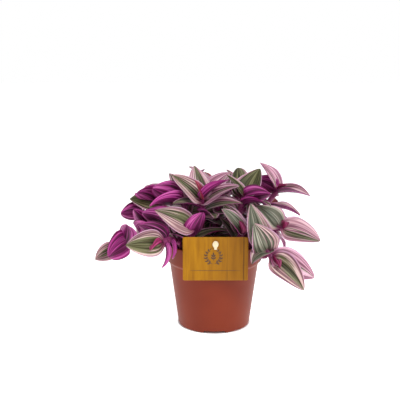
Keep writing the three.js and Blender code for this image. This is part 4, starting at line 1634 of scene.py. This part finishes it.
@dataclass
class LabelCard:
    """The card: a thin sheet with round corners and a hole for the peg, printed on its front.

    Its rings lie between the hole's edge, 0, and the rim, 1. The wreath is two bowed sprays from
    its foot up, between two angles in degrees; its leaves stand in pairs at every third point of
    the stalk and lean from it. The small sprig's leaves have a height and a lean each.
    """

    width: float = 77.0
    height: float = 53.0
    low: float = 73.5
    corner: float = 2.0
    hole: float = 2.3
    edge: float = 0.15
    front_rings: tuple[float, ...] = (0.0, 0.06, 0.2, 0.4, 0.6, 0.8, 0.95)
    back_rings: tuple[float, ...] = (0.8, 0.4, 0.1, 0.0)
    ink: float = 0.05
    stroke_flatness: float = 0.3
    leaf_slimness: float = 0.24
    wreath: float = 9.0
    wreath_centre: Pair = (-1.8, 103.0)
    wreath_span: Pair = (8.0, 152.0)
    wreath_points: int = 20
    wreath_lean: float = 42.0
    sprig: Pair = (98.0, 104.5)
    sprig_leaves: tuple[Pair, ...] = ((99.5, -48), (99.5, 48), (102.2, -40), (102.2, 40), (104, 0))
    rule: Point = (-30.0, 30.5, 85.7)

    def rim(self) -> Array:
        """The rounded outline as x and z points, evenly walked between the corner arcs.

        Returns:
            The points of the outline.
        """
        half = (self.width / 2 - self.corner, self.height / 2 - self.corner)
        arcs = rounded_corners(half, self.corner, 8)
        sides = [np.linspace(arcs[k][-1], arcs[(k + 1) % 4][0], 14)[1:-1] for k in range(4)]
        return np.vstack([part for pair in zip(arcs, sides) for part in pair])

    def build(self, print_: Material) -> bpy.types.Object:
        """Rings from the hole out over the front, round the edge and back to the hole.

        Args:
            print_: the material of the printed card.

        Returns:
            The finished object.
        """
        rim = self.rim() + [CARD_X, self.low + self.height / 2]
        centre = np.array([CARD_X, PEG_HEIGHT])
        hole = centre + self.hole * unit(rim - centre)
        front, back, bend = CARD_BACK - CARD_THICK, CARD_BACK, 1.0 - self.edge / 30
        levels = [(t, front) for t in (*self.front_rings, bend)]
        levels += [(1.0, front + self.edge), (1.0, back - self.edge)]
        levels += [(t, back) for t in (bend, *self.back_rings)]
        rings = np.array([stood_up(hole + (rim - hole) * t, y) for t, y in levels])
        skin = Skin()
        skin.loft(rings, closed_rows=True)
        piece = skin.make("label_card_sheet", [print_], 60)
        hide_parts("label_card")
        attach(piece, "root")
        return piece

    def ink_stroke(self, skin: Skin, line: Array, half: Array) -> None:
        """A raised stroke of ink along points on the card: a tube pressed flat.

        Args:
            skin: the mesh it goes into.
            line: x and z points.
            half: its half width at each point.
        """
        front = CARD_BACK - CARD_THICK - self.ink
        route = stood_up(line, front)
        rings = tube(route, half, 6)
        rings[..., 1] = front + (rings[..., 1] - front) * self.stroke_flatness
        skin.loft(rings, ends=(route[0], route[-1]))

    def ink_leaf(self, skin: Skin, base: Array, lean: float, length: float) -> None:
        """A leaf of ink: half width sin(pi s^0.8) along a straight midrib.

        Args:
            skin: the mesh it goes into.
            base: x and z of its stalk end.
            lean: degrees from upright.
            length: from stalk end to tip.
        """
        way = np.array([sin(radians(lean)), cos(radians(lean))])
        across = np.array([way[1], -way[0]])
        s = np.linspace(0.02, 0.98, 10)
        half = (self.leaf_slimness * length * np.sin(pi * s**0.8))[:, None]
        middle = base + way * (s * length)[:, None]
        front = CARD_BACK - CARD_THICK - self.ink
        rings = np.empty((len(s), 4, 3))
        rings[:, :, 1] = front + np.array([-0.03, -0.03, 0.08, 0.08])
        for k, side in enumerate((-1, 1, 1, -1)):
            rings[:, k, ::2] = middle + across * side * half
        skin.loft(rings, ends=tuple(stood_up(np.array([base, base + way * length]), front)))

    def build_sprig(self, ink: Material) -> bpy.types.Object:
        """Two bowed sprays round a small sprig, over a ruled line, raised as printed ink.

        Args:
            ink: the material of the print.

        Returns:
            The finished object.
        """
        skin = Skin()
        centre, count = np.array(self.wreath_centre), self.wreath_points
        for side in (-1, 1):
            angle = radians(-90) + side * np.radians(np.linspace(*self.wreath_span, count))
            stalk = centre + self.wreath * np.column_stack([np.cos(angle), np.sin(angle)])
            self.ink_stroke(skin, stalk, np.linspace(0.3, 0.16, count))
            for k in range(3, count, 3):
                run = stalk[k] - stalk[k - 1]
                heading = np.degrees(np.arctan2(run[0], run[1]))
                for aside in (-self.wreath_lean, self.wreath_lean):
                    self.ink_leaf(skin, stalk[k - 1], heading + aside, 4.6 - 0.09 * k)
            self.ink_leaf(skin, stalk[-1], heading, 3.0)
        upright = np.column_stack([np.full(12, centre[0]), np.linspace(*self.sprig, 12)])
        self.ink_stroke(skin, upright, np.full(12, 0.26))
        for height, lean in self.sprig_leaves:
            self.ink_leaf(skin, np.array([centre[0], height]), lean, 4.2)
        left, right, height = self.rule
        line = np.column_stack([np.linspace(left, right, 30), np.full(30, height)])
        self.ink_stroke(skin, line, 0.32 - 0.24 * np.abs(np.linspace(-1, 1, 30)) ** 5)
        piece = skin.make("card_sprig", [ink])
        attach(piece, "root")
        return piece


@dataclass
class LabelPeg:
    """The cream peg: strip in the soil, arm to the card, pin through it and an egg-shaped knob.

    The strip has its half width, and its reach in y and in z; the arm has its half width and its
    reach in y; the egg has half its width, depth and height; the tongue below the knob has its
    half width, its depth and how far it drops.
    """

    edge: float = 0.4
    strip: tuple[float, Pair, Pair] = (4.0, (-47.9, -46.1), (58.0, 121.0))
    arm: tuple[float, Pair] = (2.5, (-60.5, -46.5))
    pin_radius: float = 2.0
    pin_rows: tuple[float, ...] = (-63.0, -62.0, -60.0, -58.0)
    pin_sides: int = 28
    egg: Point = (3.5, 1.5, 4.3)
    egg_rows: int = 24
    egg_sides: int = 36
    tongue: Point = (1.7, 1.6, 6.4)
    tongue_top: float = 2.7

    def bar(self, skin: Skin, low: Point, high: Point, axis: int) -> None:
        """A straight bar: a rounded rectangle carried along one axis, drawn in at either end.

        Args:
            skin: the mesh it goes into.
            low: its lowest corner.
            high: its highest corner.
            axis: the axis it runs along.
        """
        a, b = np.array(low), np.array(high)
        others = [k for k in range(3) if k != axis]
        half = (b - a)[others] / 2 - self.edge
        middle, length = (a + b) / 2, (b - a)[axis]
        ring = np.vstack(rounded_corners(half, self.edge, 4))
        drawn_in = 1 - self.edge / half.min() * 0.5
        rows = []
        places = (0, self.edge, length - self.edge, length)
        for at, scale in zip(places, (drawn_in, 1, 1, drawn_in)):
            row = np.zeros((len(ring), 3))
            row[:, others] = ring * scale + middle[others]
            row[:, axis] = a[axis] + at
            rows.append(row)
        ends = [np.where(np.arange(3) == axis, at, middle) for at in (a[axis], b[axis])]
        skin.loft(np.array(rows), ends=tuple(ends))

    def build(self, cream: Material) -> bpy.types.Object:
        """The peg's bars, pin and knob as one piece; the knob is a sphere stretched three ways.

        Args:
            cream: the material of the peg.

        Returns:
            The finished object.
        """
        skin = Skin()
        x, z = CARD_X, PEG_HEIGHT
        head_back = CARD_BACK - CARD_THICK - 0.3
        half, (near, far), (foot, top) = self.strip
        self.bar(skin, (x - half, near, foot), (x + half, far, top), 2)
        half, (near, far) = self.arm
        self.bar(skin, (x - half, near, z - half), (x + half, far, z + half), 1)
        wide, deep, tall = self.egg
        polar, turn = np.linspace(0, pi, self.egg_rows + 2)[1:-1], round_circle(self.egg_sides)
        r, y = np.sin(polar)[:, None], np.cos(polar)[:, None] + 0 * turn
        points = [x + wide * r * np.cos(turn), head_back - deep - deep * y]
        points.append(z + tall * r * np.sin(turn))
        ends = (np.array([x, head_back - 2 * deep, z]), np.array([x, head_back, z]))
        skin.loft(np.stack(points, axis=-1), ends=ends)
        route = np.array([[x, y, z] for y in self.pin_rows])
        radii = np.full(len(route), self.pin_radius)
        skin.loft(tube(route, radii, self.pin_sides), ends=(route[0], route[-1]))
        half, deep, drop = self.tongue
        top = (x + half, head_back, z - self.tongue_top)
        self.bar(skin, (x - half, head_back - deep, z - drop), top, 2)
        piece = skin.make("label_peg_plastic", [cream], 40)
        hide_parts("label_peg")
        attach(piece, "root")
        return piece


@dataclass
class Studio:
    """The pale floor, the soft white light and the camera of a product photograph.

    The floor's glow is painted light that keeps it white; it stops under the pot's foot and is
    strongest near the pot, where it hides the pot's shadow.
    The world is brightest level with the pot and dims upwards, downwards and towards the camera.
    The steps are in metres from the pot's axis, and in parts of the way a ray points.
    """

    eye: Point = (-0.0176, -0.905, 0.347)
    pitch: float = 11.8
    lens: float = 67.05
    floor_reach: float = 6.0
    foot_step: Step = (0.045, 0.047, 0.0, 1.0)
    # Painted light: the floor's glow is strongest near the pot, where it hides the pot's shadow.
    painted_glow_step: Step = (0.05, 0.25, 0.8, 0.63)
    height_step: Step = (0.12, 0.5, 1.0, 0.4)
    front_step: Step = (-0.8, -0.1, 0.4, 1.0)
    aim: Point = (0.0, 0.0, 0.1)
    lamp_size: float = 1.2
    lamps: tuple[tuple[str, Point, float], ...] = (
        ("key_light", (0.7, -1.0, 1.3), 20.0),
        ("left_light", (-1.4, -0.5, 0.7), 10.0),
        ("right_light", (1.4, -0.4, 0.5), 8.0),
    )

    def build(self) -> None:
        """Floor, world, lamps and camera."""
        self.lay_floor()
        self.light_world()
        for name, place, power in self.lamps:
            data = bpy.data.lights.new(name, "AREA")
            data.size, data.energy = self.lamp_size, power
            lamp = bpy.data.objects.new(name, data)
            lamp.location = place
            aim = Vector(self.aim) - Vector(place)
            lamp.rotation_euler = aim.to_track_quat("-Z", "Y").to_euler()
            bpy.context.scene.collection.objects.link(lamp)
        data = bpy.data.cameras.new("photo_camera")
        data.lens = self.lens
        camera = bpy.data.objects.new("photo_camera", data)
        camera.location = Vector(self.eye) + Vector((POT_PLACE[0], POT_PLACE[1], 0))
        camera.rotation_euler = (radians(90 - self.pitch), 0, 0)
        bpy.context.scene.collection.objects.link(camera)
        bpy.context.scene.camera = camera

    def strength(self, tree: Tree, steps: list[tuple[Socket, Step]]) -> Socket:
        """The product of two strengths, each of which changes as its own value crosses a step.

        Args:
            tree: the node tree of the floor or the world.
            steps: the two values, each with the step it crosses.

        Returns:
            The product's socket.
        """
        factors = []
        for value, step in steps:
            made = add_node(tree, "MapRange", [value, *step], interpolation_type="SMOOTHSTEP")
            factors.append(made["Result"])
        return add_node(tree, "Math", factors, operation="MULTIPLY")["Value"]

    def lay_floor(self) -> None:
        """White seamless paper with a painted glow, strongest round the pot's foot to hide its
        shadow.
        """
        mesh = bpy.data.meshes.new("studio_floor")
        far = self.floor_reach
        corners = [(-far, -far, 0), (far, -far, 0), (far, far, 0), (-far, far, 0)]
        mesh.from_pydata(corners, [], [(0, 1, 2, 3)])
        floor = bpy.data.objects.new("studio_floor", mesh)
        bpy.context.scene.collection.objects.link(floor)
        paper = WHITE_PAPER.make()
        tree = paper.node_tree
        lit = tree.nodes["Principled BSDF"].inputs
        lit["Emission Color"].default_value = (1, 1, 1, 1)
        feeds = {"Vector": add_node(tree, "TexCoord")["Object"]}
        feeds |= {"Location": (-POT_PLACE[0], -POT_PLACE[1], 0.0)}
        spot = add_node(tree, "Mapping", feeds)["Vector"]
        away = add_node(tree, "VectorMath", [spot], operation="LENGTH")["Value"]
        # Painted light: a glow that hides the pot's shadow near its foot and keeps the floor white.
        glow = self.strength(tree, [(away, self.foot_step), (away, self.painted_glow_step)])
        tree.links.new(glow, lit["Emission Strength"])
        mesh.materials.append(paper)

    def light_world(self) -> None:
        """A white world, dimmer overhead, underfoot and behind the camera."""
        world = bpy.data.worlds.new("white_studio")
        world.use_nodes = True
        tree = world.node_tree
        sky = add_node(tree, "SeparateXYZ", [add_node(tree, "TexCoord")["Generated"]])
        height = add_node(tree, "Math", [sky["Z"]], operation="ABSOLUTE")["Value"]
        steps = [(height, self.height_step), (sky["Y"], self.front_step)]
        backdrop = tree.nodes["Background"].inputs
        backdrop["Color"].default_value = (1, 1, 1, 1)
        tree.links.new(self.strength(tree, steps), backdrop["Strength"])
        bpy.context.scene.world = world
        bpy.context.scene.view_settings.view_transform = "Standard"


def main() -> None:
    """Builds the pieces in order and logs each piece's name and how many leaves each stem has."""
    # A leaf's skin is mostly water, so it mirrors little and lets some light through.
    leaf_skins = [
        Leaf("leaf_upper_skin", 0.4, ior=1.36, glow=0.15, upper=True).make(),
        Leaf("leaf_under_skin", 0.42, ior=1.36, glow=0.15, upper=False).make(),
        StemSkin("stem_skin", 0.4).make(),
        StemSkin("sheath_skin", 0.45, dark="#5e1a3c", light="#a5477f").make(),
    ]
    plant = Plant([Shoot(name, i, route, plan) for i, (name, route, plan) in enumerate(SHOOTS)])
    plant.grow()
    for shoot in plant.shoots:
        piece = LeafyStem(shoot).build(leaf_skins)
        LOG.info("%s: %d leaves", piece.name, len(shoot.blades))
    LOG.info("%s", Pot().build(MOULDED_PLASTIC.make()).name)
    LOG.info("%s", Soil().build(DAMP_PEAT.make()).name)
    card = LabelCard()
    LOG.info("%s", card.build(PrintedCard("printed_card", 0.5, ior=1.25).make()).name)
    LOG.info("%s", card.build_sprig(BROWN_INK.make()).name)
    LOG.info("%s", LabelPeg().build(CREAM_PLASTIC.make()).name)
    Studio().build()


if __name__ == "__main__":
    main()
